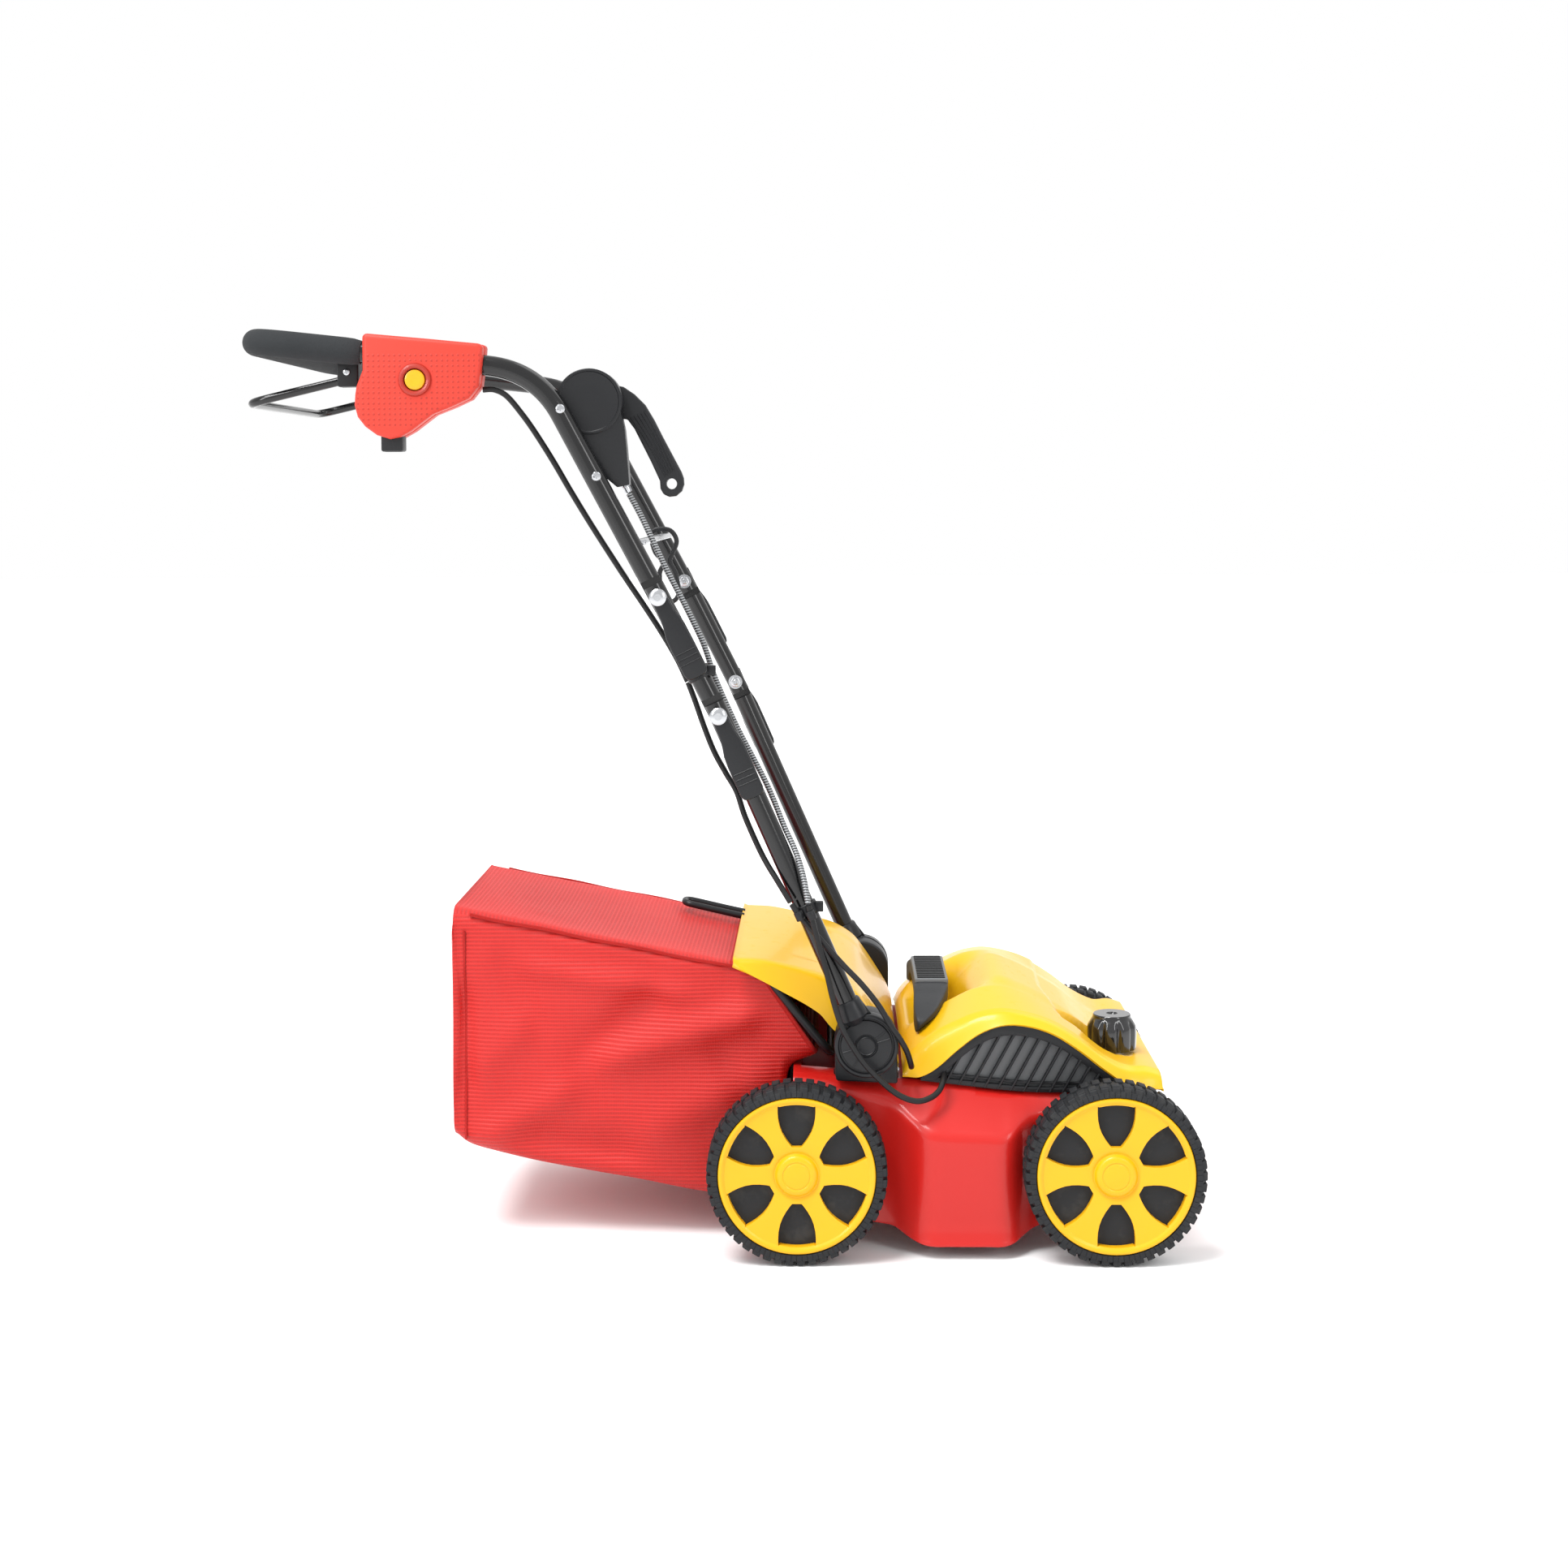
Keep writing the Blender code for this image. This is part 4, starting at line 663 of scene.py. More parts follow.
# ---------------------------------------------------------------- deck
# x, bottom z, half width, ridge z where the side meets the top
DECK_ROWS = ((-0.005, 0.060, 0.195, 0.193), (0.030, 0.044, 0.197, 0.187), (0.060, 0.036, 0.197, 0.181),
             (0.092, 0.030, 0.198, 0.172), (0.108, 0.028, 0.203, 0.164), (0.124, 0.020, 0.215, 0.153),
             (0.138, 0.016, 0.226, 0.143), (0.150, 0.015, 0.2315, 0.139), (0.170, 0.015, 0.232, 0.1375),
             (0.210, 0.015, 0.232, 0.136), (0.228, 0.015, 0.2315, 0.1355), (0.240, 0.017, 0.226, 0.140),
             (0.252, 0.022, 0.214, 0.147), (0.264, 0.027, 0.204, 0.151), (0.280, 0.031, 0.199, 0.152),
             (0.350, 0.036, 0.197, 0.153), (0.404, 0.050, 0.190, 0.146))
DECK_TOP = ((-0.005, 0.197), (0.050, 0.1925), (0.118, 0.189), (0.143, 0.187), (0.227, 0.1775),
            (0.265, 0.1745), (0.350, 0.173), (0.404, 0.166))


def deck_section(x):
    bottom = curve_value(x, [(r[0], r[1]) for r in DECK_ROWS])
    half = curve_value(x, [(r[0], r[2]) for r in DECK_ROWS])
    ridge = curve_value(x, [(r[0], r[3]) for r in DECK_ROWS])
    top = curve_value(x, DECK_TOP)
    inner = 0.180
    flare = 0.0022 * step(x, 0.118, 0.140) * (1 - step(x, 0.240, 0.262))
    line = [(half + flare, bottom), (half + flare * 0.6, bottom + 0.004), (half, bottom + 0.006)]
    line += [(half, mixed(bottom + 0.006, ridge - 0.009, k / 5)) for k in range(1, 6)]
    reach = half - inner
    rise = top - ridge
    tilt = math.atan2(rise, max(reach, 0.001))
    for k in range(1, 6):
        a = k / 6
        corner = (half, ridge)
        start, end = (half, ridge - 0.009), (half - 0.010 * math.cos(tilt), ridge + 0.010 * math.sin(tilt))
        line.append(tuple(start[i] * (1 - a) ** 2 + corner[i] * 2 * a * (1 - a) + end[i] * a * a
                          for i in (0, 1)))
    line += [(mixed(half - 0.010 * math.cos(tilt), inner, k / 4),
              mixed(ridge + 0.010 * math.sin(tilt), top, k / 4))
             for k in range(0, 4)]
    line += [(mixed(inner, 0.0, k / 4), top) for k in range(0, 5)]
    return line


def deck_shell(name):
    """The deck: flared sides that swell between the wheels, a rounded ridge and a flat top."""
    xs = [mixed(-0.0045, 0.4035, k / 136) for k in range(137)]
    sections = [deck_section(x) for x in xs]
    count = len(sections[0])
    around = 2 * (count - 1)

    def place(u, v):
        i, j = round(v * 136), round(u * around)
        y, z = sections[i][j if j < count else around - j]
        return Vector((xs[i], -y if j < count else y, z))

    deck = skin(name, around, 136, place)
    for x in (xs[0], xs[-1]):
        drop_selection()
        bpy.context.view_layer.objects.active = deck
        for vertex in deck.data.vertices:
            vertex.select = abs(vertex.co.x - x) < 1e-6
        for edge in deck.data.edges:
            edge.select = all(deck.data.vertices[i].select for i in edge.vertices)
        for face in deck.data.polygons:
            face.select = False
        bpy.ops.object.mode_set(mode="EDIT")
        bpy.ops.mesh.select_mode(type="EDGE")
        bpy.ops.mesh.edge_face_add()
        bpy.ops.mesh.select_mode(type="VERT")
        done()
    face_up(deck)
    apply_modifier(deck, "SOLIDIFY", thickness=0.0028, offset=-1.0)
    carve(deck, slab("chute", 0.004, 0.104, -0.150, 0.150, 0.120, 0.230, 0))
    carve(deck, slab("belt_slot", 0.152, 0.251, 0.138, 0.162, 0.158, 0.210, 0))
    # the front pair are slots, as the axle rises and swings a little forward in them
    for x, clear, rise in ((0.0, 0.0064, 0.0), (WHEELBASE, 0.0100, 0.0120)):
        angles = [math.tau * (k + 0.5) / 24 for k in range(24)]
        hole = [(x + clear * math.cos(angle), WHEEL_R + clear * math.sin(angle)
                 + (rise if angle < math.pi else 0))
                for angle in angles]
        carve(deck, plate("axle_hole", hole, -0.3, 0.3, 0))
    return round_edges(deck, 0.0009, 2, 50)


# ---------------------------------------------------------------- hood
# x, z at the side edge, at |y| = 0.168, at |y| = 0.10 and at the middle
HOOD_ROWS = ((0.1185, 0.1955, 0.199, 0.206, 0.207), (0.124, 0.194, 0.212, 0.220, 0.221),
             (0.137, 0.193, 0.226, 0.237, 0.222), (0.155, 0.202, 0.240, 0.249, 0.2205),
             (0.180, 0.224, 0.253, 0.263, 0.230), (0.205, 0.2425, 0.263, 0.274, 0.262),
             (0.232, 0.252, 0.267, 0.2765, 0.280), (0.262, 0.2505, 0.262, 0.268, 0.271),
             (0.290, 0.241, 0.252, 0.254, 0.257), (0.318, 0.223, 0.235, 0.237, 0.240),
             (0.345, 0.202, 0.215, 0.216, 0.219), (0.372, 0.184, 0.202, 0.2025, 0.203),
             (0.395, 0.180, 0.200, 0.200, 0.200), (0.4085, 0.179, 0.196, 0.196, 0.196))
KNOB = (0.364, -0.100, 0.2035)


def hood_top(x, y):
    """Height of the hood over the half width, from its edge to its middle."""
    edge, shoulder, ridge, middle = (curve_value(x, [(r[0], r[k]) for r in HOOD_ROWS]) for k in (1, 2, 3, 4))
    y_size = abs(y)
    if y_size >= 0.168:
        t = (0.190 - y_size) / 0.022
        z = mixed(edge, shoulder, 1 - (1 - t) ** 1.8)
    elif y_size >= 0.100:
        z = mixed(shoulder, ridge, (0.168 - y_size) / 0.068)
    else:
        z = mixed(ridge, middle, step(0.104 - y_size, 0.0, 0.046))
    # a raised lip runs along the arch, just above its edge
    z += 0.0016 * step(0.190 - y_size, 0.002, 0.010) * (1 - step(0.190 - y_size, 0.010, 0.016)) * step(x,
                                                                                                       0.13,
                                                                                                       0.16)
    # the front panel lies a little lower, past a crease that turns back along the knob's hollow
    crease = 0.286 + 0.16 * max(0.0, -y - 0.02) + 0.05 * max(0.0, y)
    z -= 0.0024 * step(x - crease, 0.0, 0.0026) * (1 - step(-y, 0.118, 0.128)) * (1 - step(x, 0.372, 0.392))
    # the hollow round the depth knob
    u, w = (x - 0.350) / 0.052, (y - KNOB[1]) / 0.0365
    tip = 1.0 + 0.55 * step(-u, 0.1, 1.2)
    depth = 1 - step(math.hypot(u, w * tip), 0.88, 1.03)
    floor = min(z, 0.2025 + 0.75 * max(0.0, 0.336 - x))
    return mixed(z, floor, depth)


def hood_shell(name):
    across = 150
    rows = ([(0.1185, 0.0), (0.1195, 0.0)] + [(mixed(0.1215, 0.4080, k / 124), 0.0) for k in range(125)]
            + [(0.4095, 0.0012), (0.4105, 0.0035), (0.4110, 0.0070), (0.4112, 0.0110), (0.4113, 0.0160)])
    along = len(rows) - 1
    halves = [mixed(-0.190, 0.190, k / across) for k in range(across + 1)]

    def place(u, v):
        x, drop = rows[round(v * along)]
        y = halves[round(u * across)]
        z = hood_top(min(x, 0.4085), y)
        if drop:
            z = max(z - drop, 0.1792)
        pull = 1 - 0.012 * step(x, 0.36, 0.41)
        return Vector((x, y * pull, z))

    hood = face_up(skin(name, across, along, place))
    apply_modifier(hood, "SOLIDIFY", thickness=0.0026, offset=-1.0)
    hole = turned("knob_stem_hole", [(0, -0.06), (0.009, -0.06), (0.009, 0.06), (0, 0.06)], 0.0, 0.0, 24)
    hole.data.transform(Matrix.Translation((KNOB[0], KNOB[1], KNOB[2])) @ Matrix.Rotation(math.pi / 2, 4,
                                                                                          "X"))
    carve(hood, hole)
    return hood


# ---------------------------------------------------------------- side grilles
def arch(x):
    return curve_value(x, [(r[0], r[1]) for r in HOOD_ROWS])


def side_grille(name, sign):
    """The arched vent under the hood: a frame band, slanting slats, and a panel set back behind them."""
    face = sign * 0.1875
    depth = -sign * 0.006
    xs = [mixed(0.1385, 0.3675, k / 46) for k in range(47)]
    low = [curve_value(x, DECK_TOP) + 0.0006 for x in xs]
    high = [max(arch(x) - 0.0006, z + 0.0012) for x, z in zip(xs, low)]
    band = [max(h - 0.0125, l + 0.0008) for h, l in zip(high, low)]
    frame_band = plate("band", list(zip(xs, high)) + list(zip(xs, band))[::-1], face, face + depth, 0.0012, 2)
    sill = plate("sill", list(zip(xs, low)) + [(x, z + 0.0058) for x, z in zip(xs, low)][::-1],
                 face - sign * 0.0005, face + depth, 0.0008, 2)
    bar = plate("bar", [(x, z + 0.0085) for x, z in zip(xs[3:-10], low[3:-10])]
                + [(x, z + 0.0115) for x, z in zip(xs[3:-10], low[3:-10])][::-1],
                face - sign * 0.0030, face + depth, 0.0006, 1)
    panel = plate("panel", [(x, z + 0.001) for x, z in zip(xs, low)]
                  + [(x, max(h - 0.004, l + 0.002)) for x, h, l in zip(xs, high, low)][::-1],
                  face - sign * 0.0075, face - sign * 0.0090, 0)
    slats = []
    lean = math.radians(61)
    for number in range(13):
        x = 0.1520 + 0.0146 * number
        base = curve_value(x, DECK_TOP) + 0.0008
        length = 0.0
        while length < 0.12:
            px, pz = x + length * math.cos(lean), base + length * math.sin(lean)
            if px > 0.366 or pz > max(arch(px) - 0.0110, curve_value(px, DECK_TOP) + 0.002):
                break
            length += 0.0005
        if length < 0.008:
            continue
        run, side = Vector((math.cos(lean), math.sin(lean))), Vector((math.sin(lean),
                                                                      -math.cos(lean))) * 0.0013
        foot, top = Vector((x, base)), Vector((x, base)) + run * length
        corners = [foot - side, foot + side, top + side, top - side]
        slats.append(plate("slat", [tuple(c) for c in corners], face + sign * 0.0004, face - sign * 0.0070,
                           0.0008, 2))
    made = join([frame_band, sill, bar] + slats)
    made.name = name
    panel.name = name + "_panel"
    return made, panel


# ---------------------------------------------------------------- carry handle
def carry_handle(name):
    """The bridge handle: a ribbed top, squared sides and a tapering leg down each flank."""
    rows = ((-0.150, 0.2290, 0.2470, 0.1350, 0.1450), (-0.132, 0.2300, 0.2560, 0.1335, 0.1590),
            (-0.112, 0.2330, 0.2630, 0.1335, 0.1660), (-0.094, 0.2410, 0.2670, 0.1345, 0.1710),
            (-0.080, 0.2500, 0.2720, 0.1352, 0.1745), (-0.066, 0.2560, 0.2738, 0.1358, 0.1765),
            (-0.030, 0.2556, 0.2748, 0.1362, 0.1770), (0.0, 0.2553, 0.2752, 0.1362, 0.1770))
    rows = rows + tuple((-y, a, b, c, d) for y, a, b, c, d in reversed(rows[:-1]))
    ring = 12

    def place(u, v):
        y, z0, z1, x0, x1 = rows[round(v * (len(rows) - 1))]
        lift = 0.016 * step(abs(y), 0.085, 0.115)
        corners = [(x0, z0), (x1, z0 + lift), (x1, z1), (x0, z1), (x0, z0)]
        t = round(u * ring) / ring * 4
        k = min(int(t), 3)
        a, b = corners[k], corners[k + 1]
        return Vector((mixed(a[0], b[0], t - k), y, mixed(a[1], b[1], t - k)))

    bridge = skin("bridge", ring, len(rows) - 1, place)
    edit(bridge)
    bpy.ops.mesh.remove_doubles(threshold=0.00001)
    bpy.ops.mesh.select_all(action="DESELECT")
    bpy.ops.mesh.select_non_manifold()
    bpy.ops.mesh.fill_holes(sides=0)
    bpy.ops.mesh.select_all(action="SELECT")
    bpy.ops.mesh.normals_make_consistent(inside=False)
    done()
    apply_modifier(bridge, "SUBSURF", levels=2, render_levels=2)
    round_edges(bridge, 0.0015, 2, 50)
    bridge.name = name
    return bridge


def carry_handle_top(name):
    """The pale frame on the bridge's top, and the dark grip ribs that lie across it."""
    frame_plate = slab(name, 0.1370, 0.1762, -0.0655, 0.0655, 0.2700, 0.2768, 0.0016)
    ribs = [slab("rib", 0.1402, 0.1730, y - 0.0027, y + 0.0027, 0.2740, 0.2782, 0.0009)
            for y in [mixed(-0.0580, 0.0580, k / 12) for k in range(13)]]
    return frame_plate, join(ribs)


# ---------------------------------------------------------------- flap and bag
# top x, top z, skirt x, skirt z
FLAP_ROWS = ((-0.072, 0.3225, -0.072, 0.316), (-0.030, 0.3195, -0.024, 0.290), (0.035, 0.3025, 0.024, 0.262),
             (0.058, 0.291, 0.042, 0.242), (0.074, 0.276, 0.062, 0.230), (0.106, 0.227, 0.092, 0.214),
             (0.1145, 0.208, 0.108, 0.206))
FLAP_HALF = 0.174


def flap_shell(name):
    """The deflector flap: a flat top that curves down to its hinge, creased skirts and a rolled rear lip."""
    along, across = 72, 64
    marks = [0.0, 0.24, 0.55, 0.66, 0.76, 0.93, 1.0]
    curves = [[(m, row[k]) for m, row in zip(marks, FLAP_ROWS)] for k in range(4)]

    def place(u, v):
        x, z, skirt_x, skirt_z = (curve_value(v, curve) for curve in curves)
        z += 0.0018 * (1 - step(v, 0.0, 0.030))
        a = abs(u - 0.5) * 2
        sign = -1 if u < 0.5 else 1
        if a > 0.80:
            t = (a - 0.80) / 0.20
            low, high = Vector((skirt_x, FLAP_HALF, skirt_z)), Vector((x, FLAP_HALF - 0.004, z - 0.006))
            if v > 0.9:
                high.z = max(high.z, skirt_z)
            point = high.lerp(low, t)
        elif a > 0.68:
            t = (a - 0.68) / 0.12
            start, corner = Vector((x, FLAP_HALF - 0.014, z)), Vector((x, FLAP_HALF - 0.004, z))
            end = Vector((x, FLAP_HALF - 0.004, z - 0.006))
            point = start * (1 - t) ** 2 + corner * 2 * t * (1 - t) + end * t * t
        else:
            y = (FLAP_HALF - 0.014) * a / 0.68
            crown = 0.0012 * (1 - (y / 0.16) ** 2)
            # a shallow pressed panel down the middle of the curve
            press = 0.0014 * step(v, 0.34, 0.42) * (1 - step(v, 0.84, 0.90)) * (1 - step(y, 0.105, 0.116))
            point = Vector((x, y, z + crown - press))
        return Vector((point.x, sign * point.y, point.z))

    flap = face_up(skin(name, across, along, place))
    return apply_modifier(flap, "SOLIDIFY", thickness=0.0028, offset=-1.0)


BAG_HALF = 0.165
FOLDS = (((-0.015, 0.268), (-0.250, 0.196), 0.017, 0.0072),
         ((-0.150, 0.292), (-0.262, 0.186), 0.020, -0.0058),
         ((-0.250, 0.176), (-0.376, 0.100), 0.019, 0.0062), ((-0.318, 0.312), (-0.110, 0.276), 0.013, 0.0048),
         ((-0.384, 0.300), (-0.376, 0.150), 0.014, -0.0046),
         ((-0.020, 0.190), (-0.190, 0.112), 0.024, 0.0044),
         ((-0.300, 0.250), (-0.372, 0.190), 0.020, 0.0040),
         ((-0.100, 0.230), (-0.030, 0.110), 0.018, -0.0040),
         ((-0.340, 0.330), (-0.290, 0.230), 0.018, -0.0034),
         ((-0.180, 0.090), (-0.330, 0.120), 0.022, -0.0040))


def bag_top(x):
    return 0.3150 + 0.2 * (-0.07 - x)


def fold_depth(x, z, phase):
    """How far a side of the bag stands out of its flat panel at (x, z)."""
    total = 0.0
    for (ax, az), (bx, bz), width, height in FOLDS:
        run = Vector((bx - ax, bz - az))
        at = Vector((x - ax, z - az))
        share = at.dot(run) / run.length_squared
        away = abs(at.x * run.y - at.y * run.x) / run.length
        fade = step(share, -0.12, 0.22) * (1 - step(share, 0.78, 1.14))
        total += 1.55 * height * fade * math.exp(-(away / width) ** 2)
    total += 0.0009 * math.sin(62 * x + 31 * z + phase) + 0.0007 * math.sin(27 * x - 88 * z + 2 * phase)
    return total


def bag_cloth(name):
    """The sewn bag: rings from its slanted mouth to its back panel, with soft folds in each side."""
    around, along, inner = 168, 104, 14
    tops = ((0.0, -0.040), (0.12, -0.092), (0.95, -0.3810), (1.0, -0.3925))
    lows = ((0.0, (0.0215, 0.2080)), (0.06, (-0.010, 0.190)), (0.14, (-0.0125, 0.125)),
            (0.22, (-0.018, 0.082)),
            (0.30, (-0.034, 0.056)), (0.42, (-0.085, 0.045)), (0.62, (-0.190, 0.062)),
            (0.80, (-0.290, 0.080)),
            (0.90, (-0.350, 0.0935)), (0.96, (-0.378, 0.102)), (1.0, (-0.3935, 0.114)))

    def ring(v, u):
        top_x = curve_value(v, tops)
        low_x = curve_value(v, [(m, p[0]) for m, p in lows])
        low_z = curve_value(v, [(m, p[1]) for m, p in lows])
        top_z = bag_top(top_x) - 0.001
        round_top = 0.016 + 0.006 * v
        half = BAG_HALF - 0.0075
        turn = u * 4
        k, t = min(int(turn), 3), turn - min(int(turn), 3)
        soft = t + 0.055 * math.sin(math.tau * t) * -1
        t = min(max(soft, 0.0), 1.0)
        if k == 0:
            y, h = mixed(half, -half, t), 1.0
        elif k == 1:
            y, h = -half, 1 - t
        elif k == 2:
            y, h = mixed(-half, half, t), 0.0
        else:
            y, h = half, t
        x, z = mixed(low_x, top_x, h), mixed(low_z, top_z, h)
        # rounded corners
        away_y, away_h = half - abs(y), min(h, 1 - h) * abs(top_z - low_z)
        if away_y < round_top and away_h < round_top:
            cut = round_top - math.hypot(round_top - away_y, round_top - away_h)
            if cut < 0:
                pull = -cut
                direction = Vector((round_top - away_y, round_top - away_h)).normalized()
                y -= math.copysign(direction.x * pull, y)
                shift = direction.y * pull / max(abs(top_z - low_z), 0.001)
                h = h - shift if h > 0.5 else h + shift
                x, z = mixed(low_x, top_x, h), mixed(low_z, top_z, h)
        return Vector((x, y, z)), k, h

    def place(u, v):
        reach = v * (along + inner) / along
        point, side, h = ring(min(reach, 1.0), u)
        if reach > 1.0:
            share = (reach - 1.0) * along / inner
            point = point.lerp(Vector((-0.3935, 0.0, 0.235)), share)
            point.x = mixed(point.x, -0.3975, step(share, 0.0, 0.16))
            ripple = 0.0030 * math.sin(34 * point.z + 2.2) * math.sin(19 * point.y + 0.6)
            point.x += ripple * step(share, 0.06, 0.4)
            return point
        edge = step(reach, 0.01, 0.12)
        if side in (1, 3):
            sign = -1 if side == 1 else 1
            inside = step(h, 0.0, 0.12) * step(1 - h, 0.0, 0.09) * edge * (1 - step(reach, 0.965, 1.0))
            wide = fold_depth(point.x, point.z, 0.4 if side == 1 else 2.1)
            belly = -0.0030 + 0.0022 * math.sin(math.pi * h)
            point.y += sign * inside * min(max(wide + belly, -0.016), 0.0095)
        elif side == 0:
            middle = (1 - (point.y / BAG_HALF) ** 2) * edge
            point.z += middle * (-0.0032 + 0.0010 * math.sin(30 * point.x + 9 * point.y))
        else:
            middle = (1 - (point.y / BAG_HALF) ** 2) * edge
            point.z += middle * (0.0030 + 0.0012 * math.sin(26 * point.x))
        back = step(reach, 0.90, 1.0)
        point.x += back * 0.0028 * math.sin(27 * point.z + 0.9) * (1 - step(abs(h - 0.5), 0.38, 0.5))
        return point

    cloth = skin(name, around, along + inner, place)
    edit(cloth)
    bpy.ops.mesh.remove_doubles(threshold=0.00002)
    bpy.ops.mesh.normals_make_consistent(inside=False)
    done()
    top = max(cloth.data.polygons, key=lambda f: f.center.z)
    if top.normal.z < 0:
        cloth.data.flip_normals()
    area = sum(face.area for face in cloth.data.polygons)
    apply_modifier(cloth, "SOLIDIFY", thickness=0.0016, offset=-1.0)
    chart = cloth.data.uv_layers.active or cloth.data.uv_layers.new(name="UVMap")
    for face in cloth.data.polygons:
        n = [abs(value) for value in face.normal]
        for loop in face.loop_indices:
            co = cloth.data.vertices[cloth.data.loops[loop].vertex_index].co
            if n[1] >= max(n[0], n[2]) * 0.7:
                chart.data[loop].uv = (co.x, co.z)
            elif n[2] > n[0]:
                chart.data[loop].uv = (co.y, co.x)
            else:
                chart.data[loop].uv = (co.y, co.z)
    return cloth, area


def bag_seams(name):
    """Bound seams: along both top edges, round the back panel and along the mouth."""
    pieces = []
    for sign in (-1, 1):
        edge = [(x, sign * (BAG_HALF - 0.0105), bag_top(x) - 0.0055 + 0.0006 * math.sin(60 * x))
                for x in [mixed(-0.052, -0.373, k / 24) for k in range(25)]]
        pieces.append(rod("seam", smooth_path(edge, 3), 0.0022, 8))
        phase = 0.4 if sign < 0 else 2.1
        upright = []
        for z in [mixed(0.112, 0.352, k / 30) for k in range(31)]:
            inside = step(z, 0.106, 0.130) * (1 - step(z, 0.345, 0.366))
            stand = min(max(fold_depth(-0.3795, z, phase) - 0.0015, -0.016), 0.0095)
            upright.append((-0.3795, sign * (BAG_HALF - 0.0073 + inside * stand), z))
        pieces.append(rod("seam", smooth_path(upright, 3), 0.0014, 8))
    half = BAG_HALF - 0.0085
    mouth = bent([(-0.0405, half, 0.3020), (-0.0405, -half, 0.3020), (0.0205, -half, 0.2120),
                  (0.0205, half, 0.2120), (-0.0405, half, 0.3020)], 0.014, 6)[:-1]
    pieces.append(rod("hem", mouth, 0.0030, 8, closed=True))
    made = join(pieces)
    made.name = name
    return made


def bag_grip(name):
    """The bag's grip: a narrow loop that lies just over the top panel."""
    profile = [(-0.070, bag_top(-0.082) + 0.0050), (-0.082, bag_top(-0.082) + 0.0075),
               (-0.144, bag_top(-0.144) + 0.0095)]
    loop = [(x, 0.086, z) for x, z in profile] + [(x, 0.114, z) for x, z in reversed(profile)]
    return rod(name, bent(loop, 0.0125, 10), 0.0040, 16)


def closed_loop(name, corners, radius, bend, sides):
    count = len(corners)
    path = []
    for i in range(count):
        before, corner, after = (Vector(corners[(i + d) % count]) for d in (-1, 0, 1))
        start = corner + (before - corner).normalized() * bend
        end = corner + (after - corner).normalized() * bend
        for k in range(7):
            t = k / 6
            path.append(start * (1 - t) ** 2 + corner * 2 * t * (1 - t) + end * t * t)
    return rod(name, path, radius, sides, closed=True)


# ---------------------------------------------------------------- handle
PIVOT = (0.0773, 0.2368)
LOWER_CLAMP = (-0.084, 0.605)
UPPER_CLAMP = (-0.1495, 0.7356)
BEND, HANDLE_LINE = (-0.282, 0.984), (-0.247, 0.938)
GRIP = (-0.6035, 1.0195)
HALF = 0.2175
TUBE = 0.0115
LAP, TIP = 0.030, 0.014


def way(a, b):
    return Vector((b[0] - a[0], 0, b[1] - a[1])).normalized()


def on_line(at, along, up, out=0.0, y=0.0):
    """A point `up` along a line from `at` and `out` to its front side."""
    side = Vector((along.z, 0, -along.x))
    return Vector((at[0], y, at[1])) + along * up + side * out


def lap_block(clamp, along, keep_outer, sign):
    outline = []
    for up, out in ((-TIP - 0.030, -0.02), (LAP - TIP + 0.006, -0.02), (LAP - TIP + 0.006, 0.02),
                    (-TIP - 0.030, 0.02)):
        point = on_line(clamp, along, up, out)
        outline.append((point.x, point.z))
    low, high = (HALF - 0.02, HALF + 0.00015) if keep_outer else (HALF - 0.00015, HALF + 0.02)
    return plate("lap", outline, sign * low, sign * high)


def tube_leg(name, low, high, sign):
    ends = [Vector((low[0], sign * HALF, low[1])), Vector((high[0], sign * HALF, high[1]))]
    path = [ends[0].lerp(ends[1], k / 12) for k in range(13)]
    return rod(name, path, TUBE, 28)


def handle_loop(name):
    along = way(UPPER_CLAMP, HANDLE_LINE)
    low = on_line(UPPER_CLAMP, along, -TIP)
    corners = [(low.x, -HALF, low.z), (BEND[0], -HALF, BEND[1]), (GRIP[0], -HALF, GRIP[1]),
               (GRIP[0], HALF, GRIP[1]), (BEND[0], HALF, BEND[1]), (low.x, HALF, low.z)]
    path = bent(corners, 0.055, 16)
    loop = rod(name, path, TUBE, 28)
    for _, sign in SIDES:
        carve(loop, lap_block(UPPER_CLAMP, along, False, sign))
    return loop, path


def screw_head(name, at, direction, radius=0.0055, height=0.0024):
    """A domed screw head with a cross cut in it."""
    head = turned("head", [(0, -0.002), (radius, -0.002), (radius, height * 0.35),
                           (radius * 0.86, height * 0.75),
                           (radius * 0.55, height * 0.96), (0, height)], 0, 0, 28)
    for turn in (0.3, 0.3 + math.pi / 2):
        slot = slab("cross", -radius * 0.55, radius * 0.55, height * 0.45, height * 2, -radius * 0.12,
                    radius * 0.12, 0)
        slot.data.transform(Matrix.Rotation(turn, 4, "Y"))
        carve(head, slot)
    turn_to(head, Vector((0, 0, 0)), direction)
    head.data.transform(Matrix.Translation(at))
    head.name = name
    return head


def hex_nut(name, at, direction, radius=0.0072, height=0.0055):
    washer = turned("washer", [(0, -0.0005), (radius * 1.28, -0.0005), (radius * 1.28, 0.0012), (0, 0.0012)],
                    0, 0, 36)
    body = turned("nut", [(0, 0.001), (radius, 0.001), (radius, height * 0.86), (radius * 0.88, height),
                          (0, height)], 0, 0, 6)
    round_edges(body, 0.0005, 2, 20)
    stud = turned("stud", [(0, height * 0.9), (radius * 0.52, height * 0.9), (radius * 0.52, height + 0.0020),
                           (radius * 0.42, height + 0.0026), (0, height + 0.0026)], 0, 0, 24)
    made = join([washer, body, stud])
    turn_to(made, Vector((0, 0, 0)), direction)
    made.data.transform(Matrix.Translation(at))
    made.name = name
    return made


